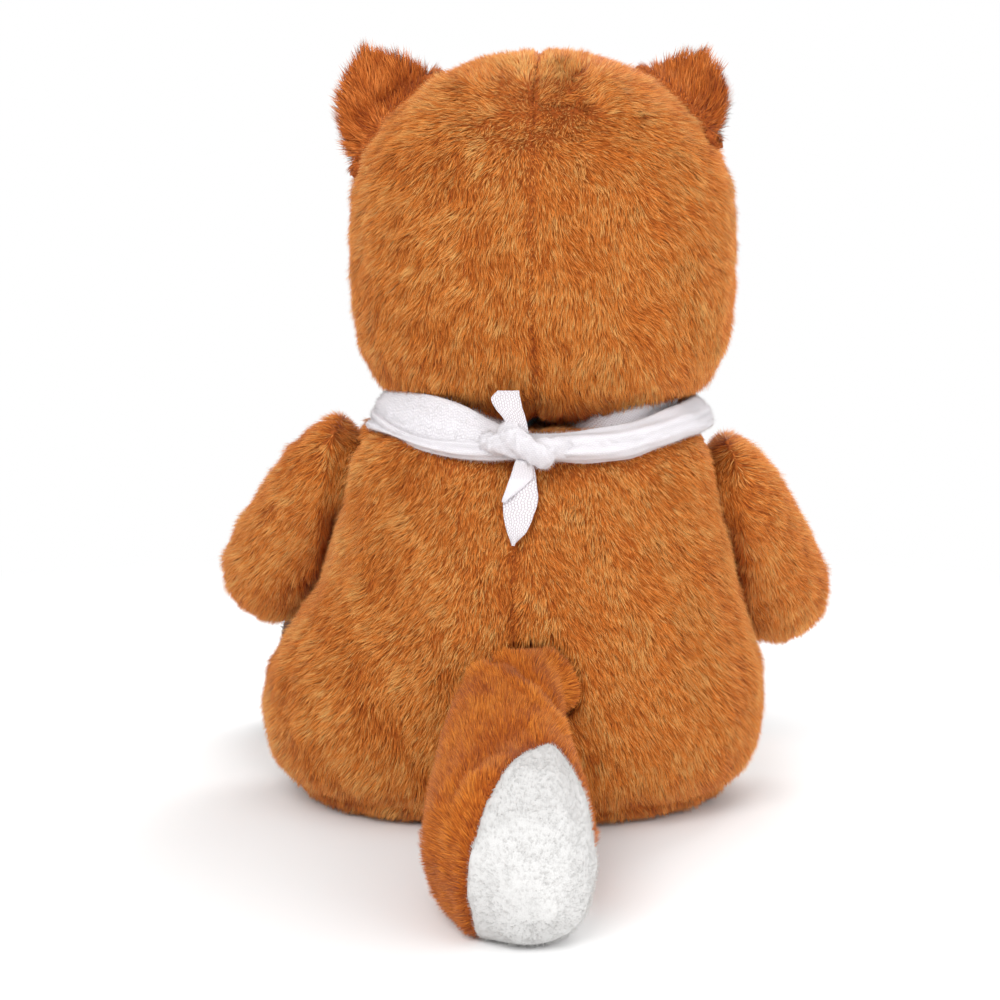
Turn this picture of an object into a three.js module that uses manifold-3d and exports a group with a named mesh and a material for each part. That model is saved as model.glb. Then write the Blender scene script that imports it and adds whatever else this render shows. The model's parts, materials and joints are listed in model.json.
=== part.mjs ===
// A plush fox sitting upright: sewn covers of short pile over stuffing, with a cloth tied at its neck.
// It sits on the plane z = 0 and looks along -Y, so its back, tail and the cloth's knot are at +Y.
// The toy's left is +X. Every cover is a shell that opens towards the piece it is sewn to.

import * as THREE from 'three';
import { mergeVertices } from 'three/addons/utils/BufferGeometryUtils.js';
import Module from 'manifold-3d';

const wasm = await Module();
wasm.setup();

// Driving dimensions, in millimetres
const clearance = 0.3; // gap between two pieces that touch
const turningGap = 0.8; // gap beside a sewn limb that moves
const rootGap = 0.3; // gap round its root
const coverThickness = 3; // pile fabric with its backing
const restCut = 0.5; // depth of the flat that the weight presses
const overrun = 500; // reach of a cutting block

const bodyHeight = 147; // floor to the neck seam
const bodyWidth = 199;
const bodyDepth = 158;
const bodyLean = 7; // how far the chest sits towards the toy's right
const seatPanelHeight = 7;
const sideSeamForward = 14; // side seam in front of the middle of the body

const headHeight = 141;
const headWidth = 150;
const headDepth = 128;
const headShift = 12; // neck centre towards the toy's right
const headForward = 5;
const faceSeamForward = 10;
const cheekHeight = 74; // top of the white cheek at the side of the head

const muzzleLength = 66; // from inside the face to the tip
const muzzleWidth = 58;
const muzzleHeight = 42;
const muzzleLevel = 50; // above the neck seam
const muzzleReach = 36; // tip in front of the face

const eyeDiameter = 14;
const eyeBulge = 5;
const eyeSpacing = 56;
const eyeLevel = 79;
const noseWidth = 21;
const noseHeight = 15;
const noseBulge = 9;
const shankDiameter = 4;
const shankLength = 9;
const washerDiameter = 15;
const washerThickness = 2.4;
const threadDiameter = 1.8;

const earSpan = 53;
const earThickness = 11;
const earDrop = 29.5; // ear centre below the top of the head
const earSpreads = { left: 55, right: 47 }; // ear centre from the middle of the head

const armDiameter = 49;
const armReach = 64; // shoulder to the middle of the hand
const shoulderLevelLeft = 125;
const shoulderLevelRight = 118;
const shoulderForward = 8;

const legWidth = 54;
const footHeight = 68;
const legReach = 76; // hip to sole
const hipSpread = 63;
const hipForward = 62;
const soleThickness = 6;
const footLength = 46;

const tailLength = 150;
const tailThickness = 59;
const tailRootLevel = 57;
const tailShift = 8; // tail root towards the toy's right

const scarfThickness = 2.2;
const scarfBandHeight = 16;
const scarfBandWidth = 9;
const scarfRadius = 61; // neck centre to the middle of the band, sideways
const scarfRadiusDepth = 50;
const bibWidth = 118;
const knotShift = 4; // knot towards the toy's right
const bibDrop = 68;
const knotWidth = 19;
const knotHeight = 17;
const upperEndWidth = 9;
const upperEndLength = 17;
const lowerEndWidth = 13;
const lowerEndLength = 28;
const pelletBagWidth = 104;
const pelletBagHeight = 22;

// Angles, in radians
const degree = Math.PI / 180;
const headTurn = -5 * degree;
const headTilt = -0.5 * degree;
const earTurn = 10 * degree; // each ear faces a little outwards
const earLeans = { left: 4 * degree, right: 30 * degree }; // forwards
const headSwing = 30 * degree; // each way
const armSwingForward = 70 * degree;
const armSwingBack = 8 * degree;
const legSwingUp = 25 * degree;
const legSwingDown = 20 * degree;
const tailSwing = 25 * degree; // each way
const lobeFacing = 45 * degree; // fuller part of the cloth's roll, from the toy's left towards its back

// Counts
const largeSides = 20;
const largeRings = 12;
const limbSides = 10;
const limbRings = 9;
const ballSides = 14;
const tailSides = 12;
const bandSides = 8;
const curveSteps = 6;
const edgeSteps = 2;
const outlineSteps = 3;

// Sections of each form, in shares of its own sizes. A body or head row holds the height, the width,
// the depth and the sideways lean; a limb row holds the distance along it, the width and the height.
const bodyShares = [
  [0, 0.02, 0.02, 0],
  [0.003, 0.66, 0.66, 0],
  [0.02, 0.8, 0.8, 0],
  [0.07, 0.92, 0.92, 0],
  [0.15, 0.975, 0.98, 0],
  [0.25, 1, 1, 0.02],
  [0.35, 0.975, 0.985, 0.15],
  [0.43, 0.92, 0.95, 0.4],
  [0.53, 0.84, 0.89, 0.85],
  [0.67, 0.775, 0.8, 1],
  [0.82, 0.745, 0.69, 1],
  [0.905, 0.71, 0.61, 1],
  [0.96, 0.635, 0.555, 1],
  [1, 0.45, 0.46, 1],
];
const headShares = [
  [0, 0.53, 0.52, 0],
  [0.03, 0.7, 0.66, 0],
  [0.08, 0.84, 0.8, 0],
  [0.16, 0.945, 0.91, 0],
  [0.28, 0.99, 0.97, 0],
  [0.42, 1, 1, 0],
  [0.56, 1, 0.99, 0],
  [0.67, 0.965, 0.95, 0],
  [0.76, 0.87, 0.87, 0],
  [0.85, 0.73, 0.75, 0],
  [0.93, 0.53, 0.56, 0],
  [0.98, 0.29, 0.32, 0],
  [1, 0.02, 0.02, 0],
];
const muzzleShares = [
  [0, 1, 1],
  [0.35, 1, 1],
  [0.55, 0.84, 0.88],
  [0.72, 0.62, 0.7],
  [0.86, 0.46, 0.54],
  [0.95, 0.31, 0.37],
  [1, 0.02, 0.02],
];
const armShares = [
  [0, 0.02, 0.02],
  [0.03, 0.5, 0.5],
  [0.1, 0.8, 0.8],
  [0.22, 0.95, 0.95],
  [0.4, 0.98, 0.98],
  [0.6, 0.97, 0.97],
  [0.77, 1, 1],
  [0.89, 0.84, 0.84],
  [0.965, 0.5, 0.5],
  [1, 0.02, 0.02],
];
const legShares = [
  [0, 0.02, 0.02],
  [0.03, 0.4, 0.34],
  [0.1, 0.7, 0.58],
  [0.22, 0.9, 0.75],
  [0.4, 0.97, 0.8],
  [0.6, 0.97, 0.83],
  [0.8, 1, 0.95],
  [0.93, 1, 1],
  [0.985, 0.86, 0.88],
  [1, 0.5, 0.52],
];
const tailShares = [
  [0, 0.05, 0.05],
  [0.03, 0.4, 0.4],
  [0.1, 0.6, 0.6],
  [0.25, 0.7, 0.7],
  [0.45, 0.89, 0.88],
  [0.62, 1, 1],
  [0.78, 0.97, 0.97],
  [0.89, 0.78, 0.78],
  [0.965, 0.46, 0.46],
  [1, 0.02, 0.02],
];

// Places, in shares of the sizes they follow
const armCutShares = [-1, -0.66, -0.4, -0.18, 0, 1]; // turns at which the body cuts a limb, of its range
const legCutShares = [-1, -0.5, 0, 1];
const tailCutShares = [-1, 0, 1];
const muzzleDropShare = 0.08; // fall of the muzzle's tip, of its height
const noseSinkShare = 0.33; // nose centre behind the muzzle's tip, of its bulge
const noseLiftShare = 0.33; // nose centre above the muzzle's tip, of its height
const mouthForkShare = 0.5; // end of the mouth's upright line, of the nose's height
const mouthShares = [
  [0.3, 0.33, 0.72],
  [0.62, 1, 0.55],
];
const cheekInnerShare = 0.72; // cheek height beside the muzzle, of its height at the side
const cheekBendShare = 0.5; // where the cheek's edge bends, of half the head's width
const cheekEndShare = 0.33; // where the bend ends, of half the muzzle's width
const earOutlineShares = [
  [-0.36, 0.34],
  [-0.06, 0.5],
  [0.25, 0.58],
  [0.42, 0.34],
  [0.46, 0.08],
  [0.4, -0.16],
  [0.3, -0.38],
];
const earRootShares = [
  [0, -0.52],
  [-0.4, -0.1],
];
const earEdgeShare = 0.25; // rounded edge, of the ear's thickness
const armRootShare = 0.36; // round root, of the arm's diameter
const armOutShares = { left: 0.5, right: 0.42 }; // way that the arm points, of its reach
const armForwardShare = 0.54;
const armDownShare = 0.68;
const armBowShare = 0.06;
const armBendShare = 0.25;
const legRootShare = 0.4; // round root, of the leg's width
const legHeightShare = 0.8; // leg height at the hip, of the foot's
const legRouteShares = [
  [-0.03, 0.28, 0],
  [0, 0, 0],
  [0.11, -0.45, 0.2],
  [0.2, -1, 1],
];
const tailRootShare = 0.24; // round root, of the tail's thickness
const tailSeamShares = [ // edge of the white end from above, of the tail's length
  [0.165, 0.86],
  [0.13, 0.79],
  [0.075, 0.66],
  [0.015, 0.515],
  [-0.05, 0.455],
  [-0.095, 0.53],
  [-0.125, 0.68],
];
const tailEndShares = [ // well past the tail's end
  [-0.3, 1.4],
  [0.165, 1.4],
];
const tailRouteShares = [
  [0, -0.1, 0],
  [0.06, 0.06, -0.02],
  [0.075, 0.22, -0.085],
  [0.068, 0.46, -0.19],
  [0.06, 0.68, -0.225],
  [-0.03, 0.92, -0.29],
];
const bandDropShare = 0.12; // middle of the cloth's roll below the neck seam, of its height
const bandSagShare = 0.22;
const lobeShare = 0.25; // extra height where the roll is fuller
const knotDropShare = 0.4; // knot below the neck seam, of the roll's height
const knotSetShare = 0.25; // knot outside the roll's middle, of its width
const knotDepthShare = 1.5; // knot depth, of the roll's width
const leafShares = [
  [-0.5, -0.7],
  [0.25, -1],
  [0.5, -0.6],
];
const bagSetShare = 0.25; // bag centre above its flat bottom, of its height
const roundness = 2.25; // 2 is an ellipse, more is squarer

const orange = { color: 0xc47438, roughness: 0.95, metalness: 0 };
const cream = { color: 0xf1ece4, roughness: 0.95, metalness: 0 };
const darkBrown = { color: 0x4a2a1c, roughness: 0.95, metalness: 0 };
const earBrown = { color: 0xa64e24, roughness: 0.95, metalness: 0 };
const cloth = { color: 0xf0edf2, roughness: 0.9, metalness: 0 };
const fibre = { color: 0xe9e6df, roughness: 1, metalness: 0 };
const gloss = { color: 0x0c0a09, roughness: 0.15, metalness: 0 };
const whitePlastic = { color: 0xdedbd2, roughness: 0.5, metalness: 0 };
const thread = { color: 0x2a1a14, roughness: 0.8, metalness: 0 };

// Solids

function solid(geometry, matrix = new THREE.Matrix4()) {
  const bare = geometry.clone().applyMatrix4(matrix);
  bare.deleteAttribute('normal');
  bare.deleteAttribute('uv');
  const merged = mergeVertices(bare);
  const mesh = new wasm.Mesh({
    numProp: 3,
    vertProperties: new Float32Array(merged.attributes.position.array),
    triVerts: new Uint32Array(merged.index.array),
  });
  return new wasm.Manifold(mesh);
}

function geometryOf(shape) {
  const mesh = shape.getMesh();
  const geometry = new THREE.BufferGeometry();
  geometry.setAttribute('position', new THREE.BufferAttribute(mesh.vertProperties, 3));
  geometry.setIndex(new THREE.BufferAttribute(mesh.triVerts, 1));
  geometry.computeVertexNormals();
  return geometry;
}

function moved(shape, matrix) {
  const mesh = shape.getMesh();
  const places = new THREE.BufferAttribute(new Float32Array(mesh.vertProperties), 3).applyMatrix4(matrix);
  const triVerts = new Uint32Array(mesh.triVerts);
  const copy = new wasm.Mesh({ numProp: 3, vertProperties: places.array, triVerts });
  return new wasm.Manifold(copy);
}

// The main body of a shape that a boolean left with slivers
function mainBody(shape) {
  const bodies = shape.decompose();
  return bodies.reduce((largest, body) => (body.volume() > largest.volume() ? body : largest));
}

function unite(shapes) {
  return wasm.Manifold.union(shapes);
}

function node(name, shape, finish, parent) {
  const mesh = new THREE.Mesh(geometryOf(shape), new THREE.MeshStandardMaterial(finish));
  mesh.name = name;
  parent.add(mesh);
}

// A block that starts at a point and covers the side that the direction looks to
function beyond(point, direction) {
  const block = new THREE.BoxGeometry(overrun, overrun, overrun);
  const turn = new THREE.Quaternion().setFromUnitVectors(
    new THREE.Vector3(0, 0, 1), direction.clone().normalize());
  const centre = point.clone().addScaledVector(direction.clone().normalize(), overrun / 2);
  return solid(block, new THREE.Matrix4().compose(centre, turn, new THREE.Vector3(1, 1, 1)));
}

function vector(x, y, z) {
  return new THREE.Vector3(x, y, z);
}

const left = vector(1, 0, 0);
const right = vector(-1, 0, 0);
const back = vector(0, 1, 0);
const front = vector(0, -1, 0);
const up = vector(0, 0, 1);
const down = vector(0, 0, -1);

function middle(points) {
  return points.reduce((sum, point) => sum.add(point), vector(0, 0, 0)).divideScalar(points.length);
}

// A closed skin through rings of points that run anticlockwise seen from the last ring
function loft(rings) {
  const sides = rings[0].length;
  const points = [...rings.flat(), middle(rings[0]), middle(rings.at(-1))];
  const firstCentre = points.length - 2;
  const lastCentre = points.length - 1;
  const lastRing = (rings.length - 1) * sides;
  const faces = [];
  for (let side = 0; side < sides; side += 1) {
    const next = (side + 1) % sides;
    faces.push(firstCentre, next, side);
    faces.push(lastCentre, lastRing + side, lastRing + next);
    for (let ring = 0; ring < rings.length - 1; ring += 1) {
      const low = ring * sides;
      const high = low + sides;
      faces.push(low + side, low + next, high + next);
      faces.push(low + side, high + next, high + side);
    }
  }
  const geometry = new THREE.BufferGeometry().setFromPoints(points);
  geometry.setIndex(faces);
  return geometry;
}

// Rows of shares, filled in smoothly between the chosen ones
function smoothRows(rows, count) {
  const curve = new THREE.CubicInterpolant(rows.map((row, index) => index), rows.flat(), rows[0].length);
  const last = rows.length - 1;
  return Array.from({ length: count }, (empty, index) => [...curve.evaluate((index / (count - 1)) * last)]);
}

function section(sides, halfWidth, halfHeight, across, along, centre) {
  return Array.from({ length: sides }, (empty, index) => {
    const angle = (index / sides) * 2 * Math.PI;
    const cosine = Math.cos(angle);
    const sine = Math.sin(angle);
    const x = Math.sign(cosine) * Math.abs(cosine) ** (2 / roundness) * halfWidth;
    const y = Math.sign(sine) * Math.abs(sine) ** (2 / roundness) * halfHeight;
    return centre.clone().addScaledVector(across, x).addScaledVector(along, y);
  });
}

// An upright form of level sections, such as the body or the head, drawn in by an inset
function uprightForm({ shares, width, depth, bottom, top, lean }, inset) {
  const rings = smoothRows(shares, largeRings).map(([height, wide, deep, leaning]) => {
    const centre = vector(-lean * leaning, 0, THREE.MathUtils.lerp(bottom(inset), top(inset), height));
    return section(largeSides, wide * (width / 2 - inset), deep * (depth / 2 - inset), left, back, centre);
  });
  return solid(loft(rings));
}

// A form swept along a curve, such as a limb, drawn in by an inset. Its end is rounded by its rows,
// and its start too where the first row is small.
function sweptForm({ shares, width, height, route, sides, side, roundStart }, inset) {
  const curve = new THREE.CatmullRomCurve3(route, false, 'centripetal');
  const length = curve.getLength();
  const start = roundStart ? inset / length : 0;
  const end = 1 - inset / length;
  const rings = smoothRows(shares, limbRings).map(([along, wide, high]) => {
    const place = THREE.MathUtils.clamp(THREE.MathUtils.lerp(start, end, along), 0, 1);
    const tangent = curve.getTangentAt(place);
    const lift = tangent.clone().cross(side).normalize();
    const across = lift.clone().cross(tangent);
    return section(sides, wide * (width / 2 - inset), high * (height / 2 - inset), across, lift,
      curve.getPointAt(place));
  });
  return solid(loft(rings));
}

function rod(from, direction, length, radius) {
  const geometry = new THREE.CylinderGeometry(radius, radius, length, limbSides);
  const turn = new THREE.Quaternion().setFromUnitVectors(back, direction);
  const centre = from.clone().addScaledVector(direction, length / 2);
  return solid(geometry, new THREE.Matrix4().compose(centre, turn, vector(1, 1, 1)));
}

function ellipsoid(centre, width, depth, height) {
  const geometry = new THREE.SphereGeometry(1, limbSides, limbSides / 2);
  const scale = vector(width / 2, depth / 2, height / 2);
  return solid(geometry, new THREE.Matrix4().compose(centre, new THREE.Quaternion(), scale));
}

// A ball with its facets even about the axis that it turns on
function ball(centre, radius, axis) {
  const geometry = new THREE.SphereGeometry(radius, ballSides, ballSides / 2);
  const turn = new THREE.Quaternion().setFromUnitVectors(back, axis);
  return solid(geometry, new THREE.Matrix4().compose(centre, turn, vector(1, 1, 1)));
}

// Groups, one for each part that moves

const fox = new THREE.Group();
const head = new THREE.Group();
head.position.set(-headShift, -headForward, bodyHeight);
head.rotation.set(0, -headTilt, headTurn, 'YXZ');
fox.add(head);
head.updateMatrixWorld(true);

// Body

const neckSpare = coverThickness + (headWidth / 2) * Math.sin(headTilt);
const bodyShape = {
  shares: bodyShares,
  width: bodyWidth,
  depth: bodyDepth,
  lean: bodyLean,
  bottom: (inset) => Math.max(inset, 0) - restCut,
  top: () => bodyHeight + neckSpare,
};
const bodyOuter = uprightForm(bodyShape, 0);
const bodyInner = uprightForm(bodyShape, coverThickness);
const bodyCore = uprightForm(bodyShape, coverThickness + clearance);
const bodyGrown = uprightForm(bodyShape, -clearance);

// Half the body's width and depth at a level, for what is placed on it
function bodyRow(level) {
  const rows = smoothRows(bodyShares, largeRings * largeSides);
  const share = level / (bodyHeight + neckSpare);
  const row = rows.find(([height]) => height >= share) ?? rows.at(-1);
  return {
    halfWidth: (row[1] * bodyWidth) / 2,
    halfDepth: (row[2] * bodyDepth) / 2,
    shift: -row[3] * bodyLean,
  };
}

// Head

const headShape = {
  shares: headShares,
  width: headWidth,
  depth: headDepth,
  lean: 0,
  bottom: () => 0,
  top: (inset) => headHeight - inset,
};
const headOuter = uprightForm(headShape, 0);
const headInner = uprightForm(headShape, coverThickness);
const headCore = uprightForm(headShape, coverThickness + clearance);
const headGrown = uprightForm(headShape, -clearance);
const neckPlane = vector(0, 0, clearance / 2);
const aboveNeck = beyond(neckPlane, up);

function headFrontAt(x, level) {
  const rows = smoothRows(headShares, largeRings * largeSides);
  const row = rows.find(([height]) => height >= level / headHeight) ?? rows.at(-1);
  const across = Math.min(1, Math.abs(x) / ((row[1] * headWidth) / 2));
  return -((row[2] * headDepth) / 2) * (1 - across ** roundness) ** (1 / roundness);
}

const muzzleTip = -headDepth / 2 - muzzleReach;
const muzzleDrop = muzzleHeight * muzzleDropShare;
const muzzleShape = {
  shares: muzzleShares,
  width: muzzleWidth,
  height: muzzleHeight,
  route: [
    vector(0, muzzleTip + muzzleLength, muzzleLevel),
    vector(0, muzzleTip + muzzleLength / 2, muzzleLevel),
    vector(0, muzzleTip, muzzleLevel - muzzleDrop),
  ],
  sides: tailSides,
  side: left,
  roundStart: false,
};
const muzzleOuter = sweptForm(muzzleShape, 0);
const muzzleGrown = sweptForm(muzzleShape, -clearance);
const muzzleCore = sweptForm(muzzleShape, coverThickness + clearance);

// A safety eye or nose: a cap outside, a shank through the cover and a washer pressed on inside
function fitting({ at, direction, bulge, cap, seat, inside }) {
  const inward = direction.clone().negate();
  const start = at.clone().addScaledVector(direction, bulge / 2);
  const shank = rod(start, inward, bulge / 2 + shankLength, shankDiameter / 2);
  const washerStart = at.clone().addScaledVector(inward, coverThickness + 2 * clearance);
  const ring = rod(washerStart, inward, washerThickness, washerDiameter / 2)
    .subtract(rod(at, inward, shankLength + coverThickness, shankDiameter / 2 + clearance))
    .intersect(inside);
  return {
    outside: cap.subtract(seat).add(shank),
    washer: ring,
    hole: rod(start, inward, bulge / 2 + shankLength + clearance, shankDiameter / 2 + clearance),
    pocket: rod(at, inward, shankLength + coverThickness, washerDiameter / 2 + clearance),
  };
}

const eyes = [left, right].map((side) => {
  const x = (side.x * eyeSpacing) / 2;
  const at = vector(x, headFrontAt(x, eyeLevel), eyeLevel);
  const nearer = headFrontAt(x - side.x * eyeDiameter / 2, eyeLevel);
  const farther = headFrontAt(x + side.x * eyeDiameter / 2, eyeLevel);
  const direction = vector(side.x * (farther - nearer), -eyeDiameter, 0).normalize();
  const cap = ellipsoid(at, eyeDiameter, 2 * eyeBulge, eyeDiameter);
  return fitting({ at, direction, bulge: eyeBulge, cap, seat: headGrown, inside: headCore });
});

const noseAt = vector(
  0, muzzleTip + noseBulge * noseSinkShare, muzzleLevel - muzzleDrop + noseHeight * noseLiftShare);
const nose = fitting({
  at: noseAt,
  direction: front,
  bulge: noseBulge,
  cap: ellipsoid(noseAt, noseWidth, 2 * noseBulge, noseHeight),
  seat: muzzleGrown,
  inside: muzzleCore,
});

const behindFace = beyond(vector(0, -faceSeamForward + clearance / 2, 0), back);
const beforeFace = beyond(vector(0, -faceSeamForward - clearance / 2, 0), front);

// The white cheek on one side of the face, cut out through the front of the head
function cheekBlock(side, gap) {
  const inner = cheekHeight * cheekInnerShare;
  const outline = new THREE.Shape();
  outline.moveTo(side.x * (clearance / 2), -overrun / 2);
  outline.lineTo(side.x * (headWidth - gap), -overrun / 2);
  outline.lineTo(side.x * (headWidth - gap), cheekHeight - gap);
  outline.lineTo(side.x * (headWidth / 2), cheekHeight - gap);
  const bend = side.x * (headWidth / 2) * cheekBendShare;
  const end = side.x * (muzzleWidth / 2) * cheekEndShare;
  outline.quadraticCurveTo(bend, inner - gap, end, inner - gap);
  outline.lineTo(side.x * (clearance / 2), inner - gap);
  outline.closePath();
  const block = new THREE.ExtrudeGeometry(outline, {
    depth: overrun / 2,
    bevelEnabled: false,
    curveSegments: curveSteps,
  });
  const turn = new THREE.Matrix4().makeRotationX(Math.PI / 2);
  return solid(block, turn);
}

function earShapes(side, spread, lean) {
  const outline = new THREE.Shape();
  const place = ([x, z]) => new THREE.Vector2(side.x * x * earSpan, z * earSpan);
  const edge = earOutlineShares.map(place);
  outline.moveTo(edge[0].x, edge[0].y);
  outline.splineThru(edge.slice(1, 3));
  outline.splineThru(edge.slice(3));
  earRootShares.map(place).forEach((point) => outline.lineTo(point.x, point.y));
  outline.closePath();
  const plump = earThickness * earEdgeShare;
  const geometry = new THREE.ExtrudeGeometry(outline, {
    depth: earThickness - 2 * plump,
    bevelThickness: plump,
    bevelSize: plump,
    bevelOffset: -plump,
    bevelSegments: edgeSteps,
    curveSegments: outlineSteps,
  });
  geometry.translate(0, 0, -earThickness / 2 + plump);
  const stand = new THREE.Matrix4().makeRotationX(Math.PI / 2);
  const leaning = new THREE.Matrix4().makeRotationX(lean);
  const pose = new THREE.Matrix4().makeRotationZ(side.x * earTurn).multiply(leaning);
  const facing = back.clone().transformDirection(pose);
  const seat = new THREE.Matrix4().makeTranslation(side.x * spread, 0, headHeight - earDrop);
  const whole = solid(geometry, seat.multiply(pose).multiply(stand)).subtract(headGrown);
  const centre = vector(side.x * spread, 0, headHeight - earDrop);
  const gapBack = centre.clone().addScaledVector(facing, clearance / 2);
  const gapFront = centre.clone().addScaledVector(facing, -clearance / 2);
  return {
    backing: whole.intersect(beyond(gapBack, facing)),
    lining: whole.intersect(beyond(gapFront, facing.clone().negate())),
  };
}

function buildHead() {
  const eyeHoles = unite(eyes.map((eye) => eye.hole));
  const shell = headOuter.subtract(headInner).intersect(aboveNeck).subtract(eyeHoles);
  const rear = shell.intersect(behindFace);
  node('head_back_left', rear.intersect(beyond(vector(clearance / 2, 0, 0), left)), orange, head);
  node('head_back_right', rear.intersect(beyond(vector(-clearance / 2, 0, 0), right)), orange, head);
  const face = shell.intersect(beforeFace);
  const cheekLeft = cheekBlock(left, clearance);
  const cheekRight = cheekBlock(right, clearance);
  node('cheek_left', face.intersect(cheekLeft), cream, head);
  node('cheek_right', face.intersect(cheekRight), cream, head);
  const lowerFace = cheekBlock(left, 0).add(cheekBlock(right, 0))
    .add(beyond(vector(0, 0, cheekHeight * cheekInnerShare), down).intersect(centreStrip()));
  node('forehead_panel', face.subtract(lowerFace), orange, head);
  const pockets = unite(eyes.map((eye) => eye.pocket));
  node('head_stuffing', headCore.intersect(aboveNeck).subtract(pockets), fibre, head);

  const muzzleShell = muzzleOuter.subtract(sweptForm(muzzleShape, coverThickness))
    .subtract(headGrown).subtract(nose.hole);
  node('muzzle_cover', muzzleShell, cream, head);
  node('muzzle_stuffing', muzzleCore.subtract(headGrown).subtract(nose.pocket), fibre, head);
  node('nose', nose.outside, gloss, head);
  node('nose_washer', nose.washer, whitePlastic, head);
  node('mouth_stitch', mouthThread(), thread, head);

  ['left', 'right'].forEach((name, index) => {
    node(`eye_${name}`, eyes[index].outside, gloss, head);
    node(`eye_washer_${name}`, eyes[index].washer, whitePlastic, head);
    const ear = earShapes([left, right][index], earSpreads[name], earLeans[name]);
    node(`ear_back_${name}`, ear.backing, earBrown, head);
    node(`ear_lining_${name}`, ear.lining, cream, head);
  });
}

// The narrow strip between the two cheeks, which neither block covers
function centreStrip() {
  return beyond(vector(-clearance, 0, 0), left).intersect(beyond(vector(clearance, 0, 0), right));
}

// The embroidered mouth: a short line down from the nose and a curve to each side, laid on the muzzle
function mouthThread() {
  const chin = muzzleLevel - muzzleDrop;
  const tip = muzzleTip + noseBulge / 2;
  const fork = vector(0, tip, chin - noseHeight * mouthForkShare);
  const upright = [vector(0, tip - noseBulge / 2, chin), fork];
  const arcs = [left, right].map((side) => [
    fork,
    ...mouthShares.map(([out, behind, below]) => vector(
      side.x * noseWidth * out, tip + noseBulge * behind, chin - noseHeight * below)),
  ]);
  const tubes = [upright, ...arcs].map((route) => {
    const curve = new THREE.CatmullRomCurve3(route);
    const ring = new THREE.Shape().absarc(0, 0, threadDiameter, 0, 2 * Math.PI);
    return solid(new THREE.ExtrudeGeometry(ring, {
      steps: curveSteps,
      extrudePath: curve,
      curveSegments: curveSteps,
    }));
  });
  const noseSpace = ellipsoid(
    noseAt, noseWidth + 2 * clearance, 2 * (noseBulge + clearance), noseHeight + 2 * clearance);
  return unite(tubes).subtract(muzzleGrown).subtract(noseSpace);
}

// Limbs

// A limb in its own frame, with the pivot at the origin: a swept form cut by the body at several turns
// of its joint, on a round root that sits in a dimple of the body
function limbSolid({ shape, pivot, axis, from, to, rootRadius, floor, flank, cuts }, inset) {
  const body = moved(
    uprightForm(bodyShape, -turningGap - inset),
    new THREE.Matrix4().makeTranslation(-pivot.x, -pivot.y, -pivot.z));
  const turned = cuts.map((share) => {
    const angle = share < 0 ? -share * from : share * to;
    return moved(body, new THREE.Matrix4().makeRotationAxis(axis, -angle));
  });
  const root = ball(vector(0, 0, 0), rootRadius - inset, axis);
  const ground = beyond(vector(0, 0, Math.max(inset, 0) - pivot.z), up);
  const form = flank ? sweptForm(shape, inset).intersect(beyond(flank.clone().multiplyScalar(inset), flank))
    : sweptForm(shape, inset);
  const whole = mainBody(form.subtract(unite(turned)).add(root));
  return floor ? whole.intersect(ground) : whole;
}

function limbPieces(limb) {
  return {
    cover: limbSolid(limb, 0).subtract(limbSolid(limb, coverThickness)),
    core: limbSolid(limb, coverThickness + 2 * clearance),
  };
}

function dimple({ pivot, rootRadius, axis }) {
  return ball(pivot, (rootRadius + rootGap) / Math.cos(Math.PI / ballSides), axis);
}

function armLimb(side, level, outShare) {
  const row = bodyRow(level);
  const direction = vector(side.x * outShare, -armForwardShare, -armDownShare).normalize();
  const bow = vector(side.x * armDiameter * armBowShare, 0, 0);
  const along = (distance) => direction.clone().multiplyScalar(distance);
  return {
    pivot: vector(row.shift + side.x * (row.halfWidth - coverThickness), -shoulderForward, level),
    axis: left,
    from: -armSwingForward,
    to: armSwingBack,
    rootRadius: armDiameter * armRootShare,
    floor: false,
    flank: side,
    cuts: armCutShares,
    shape: {
      shares: armShares,
      width: armDiameter,
      height: armDiameter,
      route: [
        along(-armDiameter / 2),
        along(armReach * armBendShare).add(bow),
        along(armReach),
        along(armReach + armDiameter / 2),
      ],
      sides: limbSides,
      side: back,
      roundStart: true,
    },
  };
}

function legLimb(side) {
  const rootRadius = legWidth * legRootShare;
  const pivot = vector(side.x * hipSpread, -hipForward, (footHeight * legHeightShare) / 2 - restCut);
  const soleLevel = footHeight / 2 - restCut - pivot.z;
  return {
    pivot,
    axis: left,
    from: -legSwingUp,
    to: legSwingDown,
    rootRadius,
    floor: true,
    cuts: legCutShares,
    shape: {
      shares: legShares,
      width: legWidth,
      height: footHeight,
      route: legRouteShares.map(([out, ahead, rise]) => vector(
        side.x * legReach * out, legReach * ahead, soleLevel * rise)),
      sides: limbSides,
      side: left,
      roundStart: true,
    },
  };
}

const tailLimb = {
  pivot: vector(-tailShift, bodyRow(tailRootLevel).halfDepth - coverThickness, tailRootLevel),
  axis: up,
  from: -tailSwing,
  to: tailSwing,
  rootRadius: tailThickness * tailRootShare,
  floor: true,
  cuts: tailCutShares,
  shape: {
    shares: tailShares,
    width: tailThickness,
    height: tailThickness,
    route: tailRouteShares.map(([x, y, z]) => vector(x, y, z).multiplyScalar(tailLength)),
    sides: tailSides,
    side: left,
    roundStart: true,
  },
};

const arms = {
  left: armLimb(left, shoulderLevelLeft, armOutShares.left),
  right: armLimb(right, shoulderLevelRight, armOutShares.right),
};
const legs = { left: legLimb(left), right: legLimb(right) };
const limbDimples = unite([arms.left, arms.right, legs.left, legs.right, tailLimb].map(dimple));

function limbGroup(limb) {
  const group = new THREE.Group();
  group.position.copy(limb.pivot);
  fox.add(group);
  return group;
}

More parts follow.
